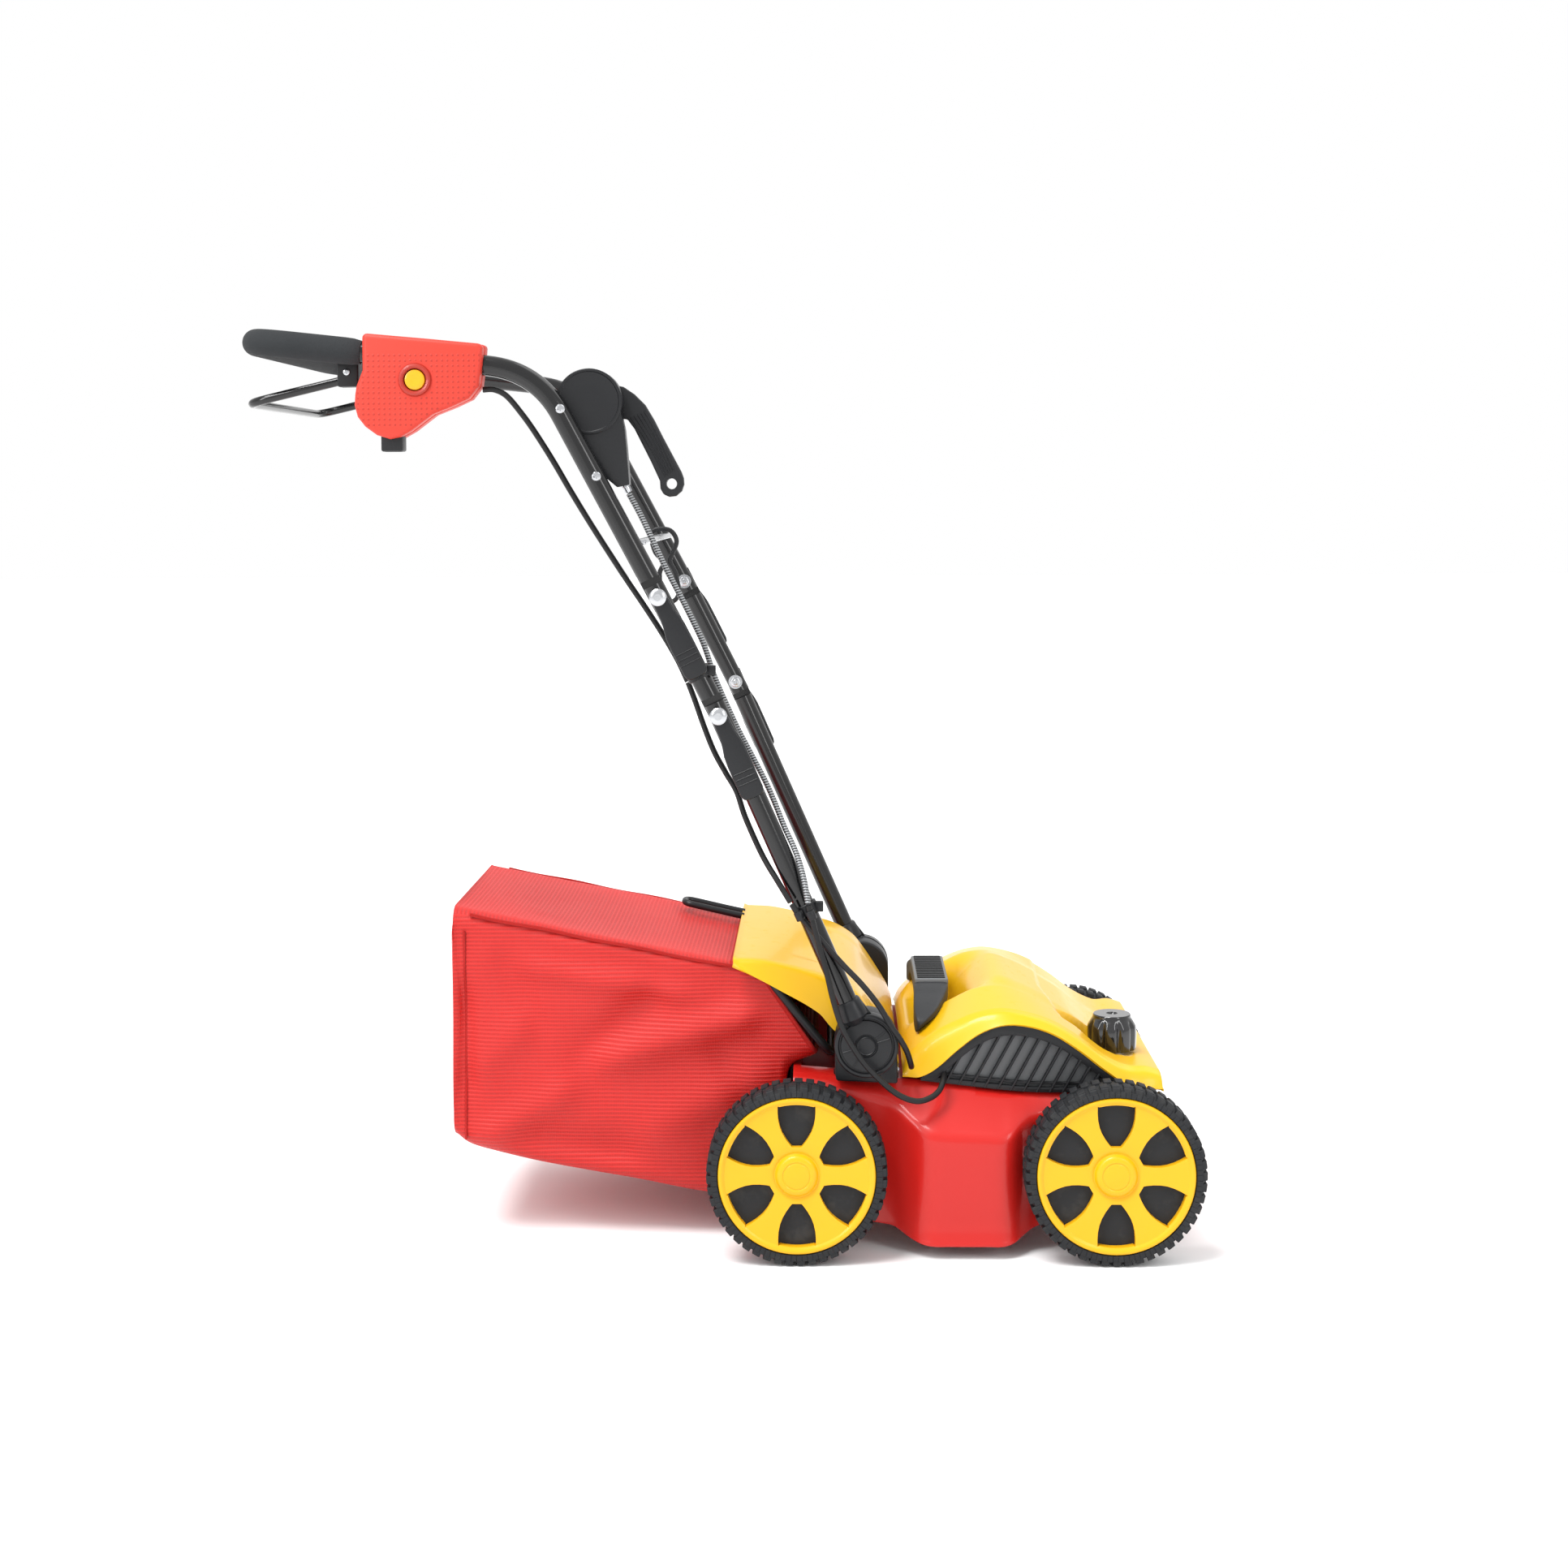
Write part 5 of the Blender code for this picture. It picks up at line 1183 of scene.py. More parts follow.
def quick_lever(name, clamp, along, sign):
    """A cam lever lying along its tube: a round head, a waist and a paddle with three finger ridges."""
    shape = [(-0.0050, -0.0068), (0.002, -0.0095), (0.012, -0.0102), (0.020, -0.0104), (0.030, -0.0125),
             (0.038, -0.0134), (0.060, -0.0136), (0.090, -0.0134), (0.0955, -0.0122), (0.0975, -0.0085),
             (0.0980, 0.0), (0.0975, 0.0085), (0.0955, 0.0122), (0.090, 0.0134), (0.056, 0.0136),
             (0.044, 0.0128), (0.034, 0.0104), (0.024, 0.0088), (0.012, 0.0086), (0.002, 0.0084),
             (-0.0050, 0.0062)]
    outline = [on_line(clamp, along, up, out) for up, out in shape]
    lever = plate("lever", [(p.x, p.z) for p in outline], sign * 0.2327, sign * 0.2398, 0.0022, 3)
    pieces = [lever]
    for up in (0.066, 0.0725, 0.079):
        corners = [on_line(clamp, along, up + a, b) for a, b in ((0, -0.0118), (0.0016, -0.0118),
                                                                (0.0016, 0.0118), (0, 0.0118))]
        pieces.append(plate("ridge", [(p.x, p.z) for p in corners], sign * 0.2390, sign * 0.2408, 0.0005, 1))
    made = join(pieces)
    made.name = name
    return made


def pivot_cover(name, sign):
    """The round joint cover with its ring groove, dividing bars, hub and the cone that takes the tube."""
    along = way(PIVOT, LOWER_CLAMP)
    radius = 0.0357
    face = sign * 0.2265
    low = sign * 0.2087
    profile = [(0, low), (radius - 0.0012, low), (radius, low + sign * 0.0012),
               (radius, face - sign * 0.0020),
               (radius - 0.0006, face - sign * 0.0008), (radius - 0.0020, face), (radius - 0.0042, face),
               (radius - 0.0050, face - sign * 0.0010), (radius - 0.0054, face - sign * 0.0036),
               (radius - 0.0070, face - sign * 0.0038), (radius - 0.0076, face - sign * 0.0016),
               (radius - 0.0090, face - sign * 0.0012), (0.0130, face - sign * 0.0020),
               (0.0122, face - sign * 0.0030), (0.0114, face - sign * 0.0030), (0.0106, face - sign * 0.0008),
               (0.0098, face - sign * 0.0002), (0.0090, face - sign * 0.0008), (0, face - sign * 0.0010)]
    cover = turned("cover", profile, PIVOT[0], PIVOT[1], 80)
    pieces = [cover]
    for turn in (math.radians(38), math.radians(196), math.radians(238), math.radians(18)):
        bar = plate("bar", [(0.0125, -0.0007), (0.0275, -0.0007), (0.0275, 0.0007), (0.0125, 0.0007)],
                    face - sign * 0.0040, face - sign * 0.0006, 0.0003, 1)
        bar.data.transform(Matrix.Translation((PIVOT[0], 0, PIVOT[1])) @ Matrix.Rotation(-turn, 4, "Y"))
        pieces.append(bar)
    start = Vector((PIVOT[0], sign * HALF, PIVOT[1]))
    cone = [(0.026, 0.0092), (0.0315, 0.0150), (0.034, 0.0170), (0.040, 0.0164), (0.046, 0.0154),
            (0.0525, 0.0144),
            (0.054, 0.0134), (0.0545, 0.0118)]
    path = [start + along * up for up, _ in cone]
    pieces.append(rod("cone", path, 0.01, 40, radii=[r for _, r in cone]))
    for out in (-1, 1):
        web = [on_line(PIVOT, along, up, out * reach) for up, reach in ((0.030, 0.0195), (0.033, 0.0140),
                                                                     (0.047, 0.0130), (0.047, 0.0150))]
        pieces.append(plate("web", [(p.x, p.z) for p in web], sign * 0.2140, sign * 0.2205, 0.0006, 1))
    made = join(pieces)
    made.name = name
    return made


def pivot_bracket(name, sign):
    """The upright moulding that carries the joint, standing on the deck."""
    radius = 0.0350
    arc = [(PIVOT[0] + radius * math.cos(a), PIVOT[1] + radius * math.sin(a))
           for a in [math.radians(6 * k) for k in range(31)]]
    foot = [(PIVOT[0] - radius, 0.2020), (PIVOT[0] - radius + 0.0015, 0.1930), (PIVOT[0] + radius, 0.1898),
            (PIVOT[0] + radius, 0.2080)]
    block = plate("block", arc + foot, sign * 0.1775, sign * 0.2078, 0.0028, 3)
    sole = plate("sole", [(0.041, 0.1940), (0.114, 0.1896), (0.114, 0.1960), (0.041, 0.1996)],
                 sign * 0.1765, sign * 0.1815, 0.0010, 2)
    made = join([block, sole])
    made.name = name
    return made


def strap_clip(name, at, along, cables):
    """A plastic strap that ties the cables to the tube: a band, a buckle and a loop round the cables."""
    middle = Vector((at[0], -HALF, at[1]))
    band = turned("band", [(0, -0.0062), (0.0134, -0.0062), (0.0139, -0.0056), (0.0139, 0.0056),
                           (0.0134, 0.0062), (0, 0.0062)], 0, 0, 48)
    turn_to(band, Vector((0, 0, 0)), along)
    band.data.transform(Matrix.Translation(middle))
    pieces = [band]
    for cable in cables:
        loop = turned("loop", [(0, -0.0050), (0.0048, -0.0050), (0.0052, -0.0044), (0.0052, 0.0044),
                               (0.0048, 0.0050), (0, 0.0050)], 0, 0, 28)
        turn_to(loop, Vector((0, 0, 0)), along)
        loop.data.transform(Matrix.Translation(cable))
        pieces.append(loop)
        link = rod("link", [middle.lerp(cable, 0.3), cable], 0.0036, 12)
        pieces.append(link)
    buckle = slab("buckle", -0.0045, 0.0045, -0.0045, 0.0045, -0.0055, 0.0055, 0.0009)
    buckle.data.transform(Matrix.Translation(middle + Vector((0.0150, -0.004, 0.0035))))
    made = join(pieces + [buckle])
    made.name = name
    return made


# ---------------------------------------------------------------- controls
BOX_OUTLINE = ((-0.4710, 1.0255), (-0.400, 1.0190), (-0.339, 1.0130), (-0.3405, 0.9900), (-0.344, 0.9670),
               (-0.3547, 0.9535), (-0.3730, 0.9450), (-0.3946, 0.9365), (-0.4183, 0.9186), (-0.4300, 0.9120),
               (-0.4419, 0.9097), (-0.4560, 0.9140), (-0.4688, 0.9234), (-0.4770, 0.9340), (-0.4803, 0.9468),
               (-0.4795, 0.9580), (-0.4780, 0.9674), (-0.4710, 0.9850))
BUTTON = (-0.413, 0.974)
HOUSING = (-0.227, 0.951)


def switch_box(name):
    """Two moulded half shells with a joint line between them, and a raised collar round the button."""
    near = plate("near", BOX_OUTLINE, -0.2400, -0.2188, 0.0056, 5)
    far = plate("far", BOX_OUTLINE, -0.2182, -0.1965, 0.0034, 3)
    core = plate("core", [(mixed(x, -0.41, 0.04), mixed(z, 0.97, 0.04)) for x, z in BOX_OUTLINE],
                 -0.2200, -0.2170, 0)
    made = join([near, far, core])
    carve(made, turned("pocket", [(0, -0.26), (0.0122, -0.26), (0.0122, -0.2275), (0, -0.2275)],
                       BUTTON[0], BUTTON[1], 48))
    made.name = name
    return made


def button_collar(name):
    """The raised ring that shrouds the button."""
    collar = turned(name, [(0.0122, -0.2335), (0.0186, -0.2335), (0.0184, -0.2404), (0.0172, -0.2428),
                           (0.0152, -0.2436), (0.0132, -0.2430), (0.0124, -0.2414)], BUTTON[0], BUTTON[1], 56)
    return carve(collar, turned("bore", [(0, -0.26), (0.0122, -0.26), (0.0122, -0.20), (0, -0.20)],
                                BUTTON[0], BUTTON[1], 48))


def button_cap(name):
    return turned(name, [(0, -0.2320), (0.0112, -0.2320), (0.0113, -0.2404), (0.0106, -0.2418),
                         (0.0088, -0.2424), (0.0050, -0.2421), (0, -0.2420)], BUTTON[0], BUTTON[1], 48)


def mains_inlet(name):
    """The shrouded inlet under the switch box, with three pins inside."""
    shroud = slab("shroud", -0.4530, -0.4290, -0.2300, -0.2070, 0.8962, 0.9260, 0.0022)
    carve(shroud, slab("mouth", -0.4505, -0.4315, -0.2275, -0.2095, 0.8900, 0.9150, 0.0015))
    pieces = [shroud]
    for x, y in ((-0.4455, -0.2185), (-0.4365, -0.2185), (-0.4410, -0.2140)):
        pin = slab("pin", x - 0.0011, x + 0.0011, y - 0.0022, y + 0.0022, 0.8990, 0.9160, 0.0004)
        pieces.append(pin)
    made = join(pieces)
    made.name = name
    return made


def bail_bracket(name, sign):
    low, high = sorted((sign * 0.1785, sign * 0.2015))
    outline = [(-0.5075, 1.0175), (-0.4830, 1.0160), (-0.4828, 0.9690), (-0.5065, 0.9685)]
    block = plate("block", outline, low, high, 0.0022, 3)
    lug = turned("lug", [(0, sign * 0.1782), (0.0100, sign * 0.1782), (0.0100, sign * 0.1800),
                         (0, sign * 0.1800)],
                 -0.495, 0.980, 36)
    made = join([block, lug])
    made.name = name
    return made


def lever_housing(name):
    """The lift control's housing: a round drum with an edge ring, a rear flange and a tapered cable snout."""
    x, z = HOUSING
    radius = 0.0365
    arc = [(x + radius * math.cos(a), z + radius * math.sin(a))
           for a in [math.radians(-18 + 8 * k) for k in range(29)]]
    outline = arc + [(-0.2640, 0.940), (-0.2560, 0.915), (-0.2370, 0.8790), (-0.2220, 0.8775),
                     (-0.1965, 0.8562),
                     (-0.1830, 0.8590), (-0.1860, 0.9000), (-0.1880, 0.920)]
    body = plate("body", outline, -0.2038, -0.1800, 0.0022, 3)
    ring = turned("ring", [(0, -0.1990), (radius, -0.1990), (radius, -0.2048),
                           (radius - 0.0010, -0.2057), (radius - 0.0030, -0.2057), (radius - 0.0040, -0.2046),
                           (radius - 0.0058, -0.2043), (0.0120, -0.2045), (0, -0.2046)], x, z, 72)
    boss = turned("boss", [(0, -0.1800), (0.0200, -0.1800), (0.0200, -0.1796), (0, -0.1796)], x, z, 40)
    made = join([body, ring, boss])
    made.name = name
    return made


def ferrule(name):
    run = Vector((0.45, 0, -0.89)).normalized()
    start = Vector((-0.1905, -0.1925, 0.8625))
    rings = [(0.0, 0.0044), (0.002, 0.0052), (0.006, 0.0052), (0.0065, 0.0044), (0.012, 0.0044),
             (0.0135, 0.0038)]
    return rod(name, [start + run * up for up, _ in rings], 0.004, 24, radii=[r for _, r in rings])


LEVER_OUTLINE = ((-0.020, 0.004), (-0.0185, 0.011), (-0.014, 0.0165), (-0.007, 0.0198), (0.002, 0.0212),
                 (0.018, 0.0208), (0.036, 0.0172), (0.048, 0.0090), (0.060, -0.0030), (0.070, -0.0200),
                 (0.080, -0.0400), (0.090, -0.0590), (0.100, -0.0780), (0.1025, -0.0850), (0.1030, -0.0920),
                 (0.1005, -0.0995), (0.0940, -0.1050), (0.0865, -0.1058), (0.0800, -0.1030),
                 (0.0765, -0.0965),
                 (0.0760, -0.0880), (0.066, -0.0660), (0.056, -0.0460), (0.048, -0.0300), (0.040, -0.0190),
                 (0.028, -0.0180), (0.010, -0.0182), (-0.006, -0.0172), (-0.014, -0.0140), (-0.0185, -0.0060))


def lift_lever(name):
    """The lift lever's arm, with five grip ribs and an eye at its end."""
    x, z = HOUSING
    outline = [(x + u, z + w) for u, w in LEVER_OUTLINE]
    arm = plate("arm", outline, -0.1790, -0.1660, 0.0020, 3)
    carve(arm, turned("eye", [(0, -0.19), (0.0061, -0.19), (0.0061, -0.15), (0, -0.15)], x + 0.0892,
                      z - 0.0912,
                      40))
    ring = turned("ring", [(0.0061, -0.1790), (0.0092, -0.1792), (0.0100, -0.1790), (0.0100, -0.1660),
                           (0.0061, -0.1660)], x + 0.0892, z - 0.0912, 40)
    carve(ring, turned("eye", [(0, -0.19), (0.0060, -0.19), (0.0060, -0.15), (0, -0.15)], x + 0.0892,
                       z - 0.0912,
                       40))
    pieces = [arm, ring]
    for number in range(5):
        offset = mixed(-0.0085, 0.0085, number / 4)
        points = []
        for share in range(13):
            t = share / 12
            centre = Vector((mixed(0.052, 0.0870, t), -0.1655,
                             mixed(-0.0140, -0.0790, t) + 0.0035 * math.sin(math.pi * t)))
            points.append(Vector((x + centre.x + offset * 0.88 * (1 - 0.35 * t), centre.y,
                                  z + centre.z + offset * 0.42)))
        pieces.append(rod("rib", points, 0.0011, 8))
        pieces.append(rod("rib", [Vector((p.x, -0.1793, p.z)) for p in points], 0.0009, 8))
    made = join(pieces)
    made.name = name
    return made


def depth_knob(name):
    """A lobed knob: deep finger flutes, a rounded shoulder and a flat cap with a small recess."""
    x0, y0, z0 = KNOB
    rows = ((0.0, 0.0), (0.0, 0.90), (0.0005, 0.965), (0.0030, 0.985), (0.018, 1.0), (0.0262, 0.992),
            (0.0285, 0.968), (0.0318, 0.900), (0.0350, 0.826), (0.0364, 0.792), (0.0376, 0.776),
            (0.0392, 0.770),
            (0.0404, 0.758), (0.0410, 0.735), (0.0410, 0.235), (0.0396, 0.205), (0.0396, 0.0))
    around = 180

    def place(u, v):
        up, share = rows[round(v * (len(rows) - 1))]
        angle = math.tau * round(u * around) / around
        lobe = 0.5 + 0.5 * math.cos(9 * angle)
        depth = 0.115 * step(share, 0.80, 0.97) * (lobe ** 4.0)
        radius = 0.0285 * share * (1 - depth)
        return Vector((x0 + radius * math.cos(angle), y0 + radius * math.sin(angle), z0 + up))

    knob = skin(name, around, len(rows) - 1, place)
    return outward(knob, 0.00002)


# ---------------------------------------------------------------- cables
POWER = (((-0.3425, -0.2140, 0.9640), (-0.330, -0.214, 0.9640), (-0.317, -0.209, 0.957),
          (-0.302, -0.200, 0.938), (-0.288, -0.199, 0.918), (-0.268, -0.199, 0.886),
          (-0.249, -0.199, 0.853), (-0.228, -0.199, 0.818), (-0.206, -0.199, 0.783),
          (-0.186, -0.199, 0.752), (-0.166, -0.199, 0.722), (-0.147, -0.198, 0.692),
          (-0.131, -0.198, 0.664), (-0.120, -0.198, 0.640)),
         ((-0.1195, -0.198, 0.6390), (-0.111, -0.198, 0.616), (-0.102, -0.199, 0.590),
          (-0.091, -0.199, 0.562), (-0.078, -0.200, 0.538), (-0.066, -0.202, 0.5175),
          (-0.057, -0.204, 0.4905), (-0.0425, -0.210, 0.4580), (-0.0325, -0.216, 0.4395),
          (-0.0215, -0.2245, 0.4230), (-0.0060, -0.2337, 0.3990)),
         ((-0.0046, -0.2338, 0.3968), (0.004, -0.2338, 0.384), (0.018, -0.2338, 0.368),
          (0.036, -0.2338, 0.347), (0.054, -0.2338, 0.327), (0.073, -0.2338, 0.307),
          (0.091, -0.2338, 0.284), (0.104, -0.234, 0.262), (0.114, -0.232, 0.247),
          (0.122, -0.225, 0.231), (0.127, -0.213, 0.213), (0.128, -0.1945, 0.2060)))
LIFT = (((-0.1845, -0.1925, 0.8490), (-0.172, -0.193, 0.826), (-0.159, -0.195, 0.799),
         (-0.144, -0.197, 0.767), (-0.128, -0.198, 0.736), (-0.115, -0.199, 0.710),
         (-0.102, -0.200, 0.682), (-0.0935, -0.200, 0.656)),
        ((-0.0933, -0.200, 0.6550), (-0.086, -0.200, 0.636), (-0.0758, -0.200, 0.6125),
         (-0.0633, -0.200, 0.5853), (-0.048, -0.200, 0.556), (-0.0328, -0.203, 0.5267),
         (-0.023, -0.206, 0.5044), (-0.013, -0.212, 0.4799), (0.0, -0.220, 0.4522),
         (0.0085, -0.2315, 0.4260), (0.0135, -0.2405, 0.3990)),
        ((0.0140, -0.2411, 0.3965), (0.022, -0.2412, 0.365), (0.033, -0.2412, 0.325),
         (0.041, -0.2412, 0.291), (0.050, -0.242, 0.263), (0.063, -0.242, 0.239),
         (0.077, -0.241, 0.219), (0.097, -0.239, 0.198), (0.115, -0.236, 0.184),
         (0.133, -0.231, 0.177), (0.148, -0.221, 0.178), (0.158, -0.211, 0.183),
         (0.163, -0.200, 0.190), (0.1655, -0.1858, 0.1960)))
CABLE_LEVELS = (("upper", "upper_handle", "middle_handle", -2, -1),
                ("middle", "middle_handle", "lower_handle", -2, -1),
                ("lower", "lower_handle", "machine", 4, 9))


def run_cable(label, sections, surfaces, radius=0.0033):
    """The cable's three stretches, one rod for each, left on no body."""
    for index, (level, upper_body, lower_body, start, end) in enumerate(CABLE_LEVELS):
        points = sections[index]
        path = smooth_path(points, 8)
        piece = rod(label + "_lead_" + level, path, radius, 14)
        finish_piece(piece, surfaces[index], None, (), 60)
        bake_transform(piece)
        node = label + "_cable_" + level
        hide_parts(node)


# ---------------------------------------------------------------- add-on: settings
def colour_setting(name, description, default):
    return bpy.props.FloatVectorProperty(name=name, description=description, default=default,
                                         subtype="COLOR", size=3, min=0.0, max=1.0)


class ScarifierColours(bpy.types.PropertyGroup):
    red: colour_setting("Deck red", "Colour of the deck", (0.47, 0.010, 0.007))
    cloth: colour_setting("Bag red", "Colour of the catcher bag", (0.60, 0.013, 0.009))
    box: colour_setting("Box red", "Colour of the switch box", (0.56, 0.040, 0.024))
    yellow: colour_setting("Hood yellow", "Colour of the hood and flap", (0.70, 0.39, 0.004))
    cover: colour_setting("Wheel yellow", "Colour of the wheel covers", (0.72, 0.375, 0.002))
    button: colour_setting("Button yellow", "Colour of the start button", (0.78, 0.34, 0.006))
    black: colour_setting("Black plastic", "Colour of the black mouldings", (0.0100, 0.0105, 0.0120))
    grey: colour_setting("Dark grey plastic", "Colour of the carry handle", (0.022, 0.023, 0.025))
    pale: colour_setting("Grille panel", "Colour of the panel behind the slats", (0.130, 0.135, 0.140))
    tyre: colour_setting("Tyre", "Colour of the tyres", (0.0150, 0.0160, 0.0180))
    foam: colour_setting("Foam", "Colour of the grip", (0.0150, 0.0165, 0.0180))
    steel: colour_setting("Zinc", "Colour of the plated steel", (0.52, 0.53, 0.55))
    floor: colour_setting("Floor", "Colour of the floor", (0.86, 0.86, 0.86))


class ScarifierSizes(bpy.types.PropertyGroup):
    lens: bpy.props.FloatProperty(name="Lens", description="Focal length of the camera", default=50.76,
                                  min=20.0, max=200.0, unit="CAMERA")
    cable: bpy.props.FloatProperty(name="Cable radius", description="Radius of the cables", default=0.0033,
                                   min=0.001, max=0.006, unit="LENGTH")


SURFACES = {}


def make_surfaces(c):
    """Make every material once, from the colour settings."""
    SURFACES.update(
        red=moulded_plastic("red_shell", c.red, 0.36, coat=0.25),
        yellow=moulded_plastic("yellow_shell", c.yellow, 0.34, coat=0.20, wear=0.05),
        cover=moulded_plastic("yellow_cover", c.cover, 0.36, coat=0.15, wear=0.05),
        black=moulded_plastic("black_plastic", c.black, 0.42),
        satin=moulded_plastic("satin_black", c.black, 0.33, grain=600.0, depth=0.0002),
        grey=moulded_plastic("dark_grey_plastic", c.grey, 0.50, grain=1300.0, depth=0.00022),
        pale=moulded_plastic("grille_panel", c.pale, 0.55),
        rib=moulded_plastic("rib_black", darker(c.black, 0.6), 0.45),
        border=moulded_plastic("border_grey", c.pale, 0.48),
        gloss=moulded_plastic("gloss_black", darker(c.black, 0.5), 0.14, coat=0.9, depth=0.00004),
        disc=moulded_plastic("wheel_disc", darker(c.tyre, 0.75), 0.55),
        tyre=tyre_rubber("tyre_rubber", c.tyre),
        paint=gloss_paint("black_paint", (0.0050, 0.0050, 0.0055)),
        foam=cell_foam("grip_foam", c.foam),
        cloth=ribbed_mesh("bag_mesh", c.cloth),
        seam=stitched_edge("bag_binding", darker(c.cloth, 0.82)),
        box=dotted_plastic("switch_box_red", c.box),
        # painted shade: the collar is the box red painted darker, standing in for the shade that would set
        # the raised ring off from the box
        collar=moulded_plastic("collar_red", darker(c.box, 0.62), 0.34, coat=0.2),
        button=moulded_plastic("button_yellow", c.button, 0.30, coat=0.3),
        zinc=bright_metal("zinc_plate", c.steel, 0.22),
        blade=bright_metal("blade_steel", (0.42, 0.43, 0.45), 0.34, (1.0, 1.0, 8.0)),
        cast=bright_metal("motor_casing", (0.36, 0.37, 0.39), 0.45),
        cable=cable_jacket("cable_jacket", (0.0070, 0.0070, 0.0075)),
        sheath=wound_sheath("wound_sheath", (0.30, 0.31, 0.32)),
        rubber=tyre_rubber("belt_rubber", (0.020, 0.020, 0.020)),
    )


def dress(surface, *nodes):
    """Give CAD nodes a finish."""
    for node in nodes:
        slots = bpy.data.objects[node].material_slots
        for place in slots:
            place.material = SURFACES[surface]
        if not slots:
            bpy.data.objects[node].data.materials.append(SURFACES[surface])


def put(piece, surface, body, replaces=(), angle=35, slot=None):
    return finish_piece(piece, SURFACES[surface], body, replaces, angle, slot)


# ---------------------------------------------------------------- add-on: operators
class SCARIFIER_OT_surfaces(bpy.types.Operator):
    """Make the procedural materials"""
    bl_idname = "scarifier.surfaces"
    bl_label = "Materials"

    def execute(self, context):
        make_surfaces(context.scene.scarifier_colours)
        return {"FINISHED"}


class SCARIFIER_OT_wheels(bpy.types.Operator):
    """Model one wheel and copy it to the four corners"""
    bl_idname = "scarifier.wheels"
    bl_label = "Wheels"

    def execute(self, context):
        parts = ((tyre_and_disc("tyre"), "disc", "wheel", 35), (tread("tread"), "tyre", None, 30),
                 (spoked_cover("cover"), "cover", "wheel_cover", 35), (inner_ribs("ribs"), "disc", None, 30))
        ring = turned("sidewall", [(0.0866, 0.2450), (0.0876, 0.2550), (0.0922, 0.2552), (0.0950, 0.2540),
                                   (0.0966, 0.2500), (0.0974, 0.2440), (0.0974, 0.2270), (0.0966, 0.2210),
                                   (0.0950, 0.2160), (0.0905, 0.2146), (0.0866, 0.2150)], 0, 0, 144)
        parts = parts + ((ring, "tyre", None, 40),)
        for end, x in (("front", WHEELBASE), ("rear", 0.0)):
            for side, sign in SIDES:
                mirror = Matrix.Scale(sign, 4, (0, 1, 0))
                turn = Matrix.Rotation(0.11 * sign + (0.3 if end == "front" else 0.0), 4, "Y")
                for piece, surface, node, angle in parts:
                    spin = Matrix.Identity(4) if piece.name.startswith("cover") else turn
                    made = twin(piece, f"{piece.name}_{end}_{side}",
                                Matrix.Translation((x, 0, WHEEL_R)) @ mirror @ spin)
                    label = f"{node}_{end}_{side}" if node else None
                    put(made, surface, f"wheel_{end}_{side}", (label,) if label else (), angle,
                        label or f"wheel_{end}_{side}")
        for piece, *_ in parts:
            bpy.data.objects.remove(piece, do_unlink=True)
        return {"FINISHED"}


class SCARIFIER_OT_deck(bpy.types.Operator):
    """Model the deck and finish the working parts under it"""
    bl_idname = "scarifier.deck"
    bl_label = "Deck and rotor"

    def execute(self, context):
        put(deck_shell("deck_moulding"), "red", "machine", ("deck_shell",), 40)
        dress("cast", "motor", "drive_pulley", "rotor_pulley")
        dress("zinc", "rotor_shaft", "front_axle", "rear_axle", "flap_pin")
        dress("blade", "blade_stack")
        dress("black", "rotor_bearing_left", "rotor_bearing_right")
        dress("rubber", "drive_belt")
        return {"FINISHED"}


class SCARIFIER_OT_hood(bpy.types.Operator):
    """Model the hood, its side grilles, the carry handle and the depth knob"""
    bl_idname = "scarifier.hood"
    bl_label = "Hood and knob"

    def execute(self, context):
        put(hood_shell("hood_moulding"), "yellow", "machine", ("hood",), 42)
        for side, sign in SIDES:
            vent, panel = side_grille("vent_" + side, sign)
            put(vent, "black", "machine", ("side_grille_" + side,))
            put(panel, "pale", "machine", (), 35, "side_grille_" + side)
        put(carry_handle("bridge_handle"), "grey", "machine", ("carry_handle",))
        border, ribs = carry_handle_top("bridge_border")
        put(border, "border", "machine", (), 35, "carry_handle")
        ribs.name = "bridge_ribs"
        put(ribs, "rib", "machine", (), 35, "carry_handle")
        put(depth_knob("height_knob"), "gloss", "depth_knob", ("depth_knob",), 40)
        return {"FINISHED"}


class SCARIFIER_OT_bag(bpy.types.Operator):
    """Model the flap and the sewn catcher bag with its frame and handle"""
    bl_idname = "scarifier.bag"
    bl_label = "Flap and bag"

    def execute(self, context):
        put(flap_shell("deflector_flap"), "yellow", "flap", ("rear_flap",), 40)
        ring = closed_loop("mouth_frame", [(-0.0335, 0.159, 0.2990), (-0.0335, -0.159, 0.2990),
                                           (0.0385, -0.159, 0.2110), (0.0385, 0.159, 0.2110)], 0.0050,
                           0.020, 20)
        put(ring, "black", "bag", ("bag_frame",))
        put(bag_grip("bag_wire_handle"), "satin", "bag", ("bag_handle",))
        cloth, area = bag_cloth("catcher_bag")
        put(cloth, "cloth", "bag", ("bag_fabric",), 60)
        seams = put(bag_seams("bag_seams"), "seam", "bag", (), 60, "bag_fabric")
        return {"FINISHED"}


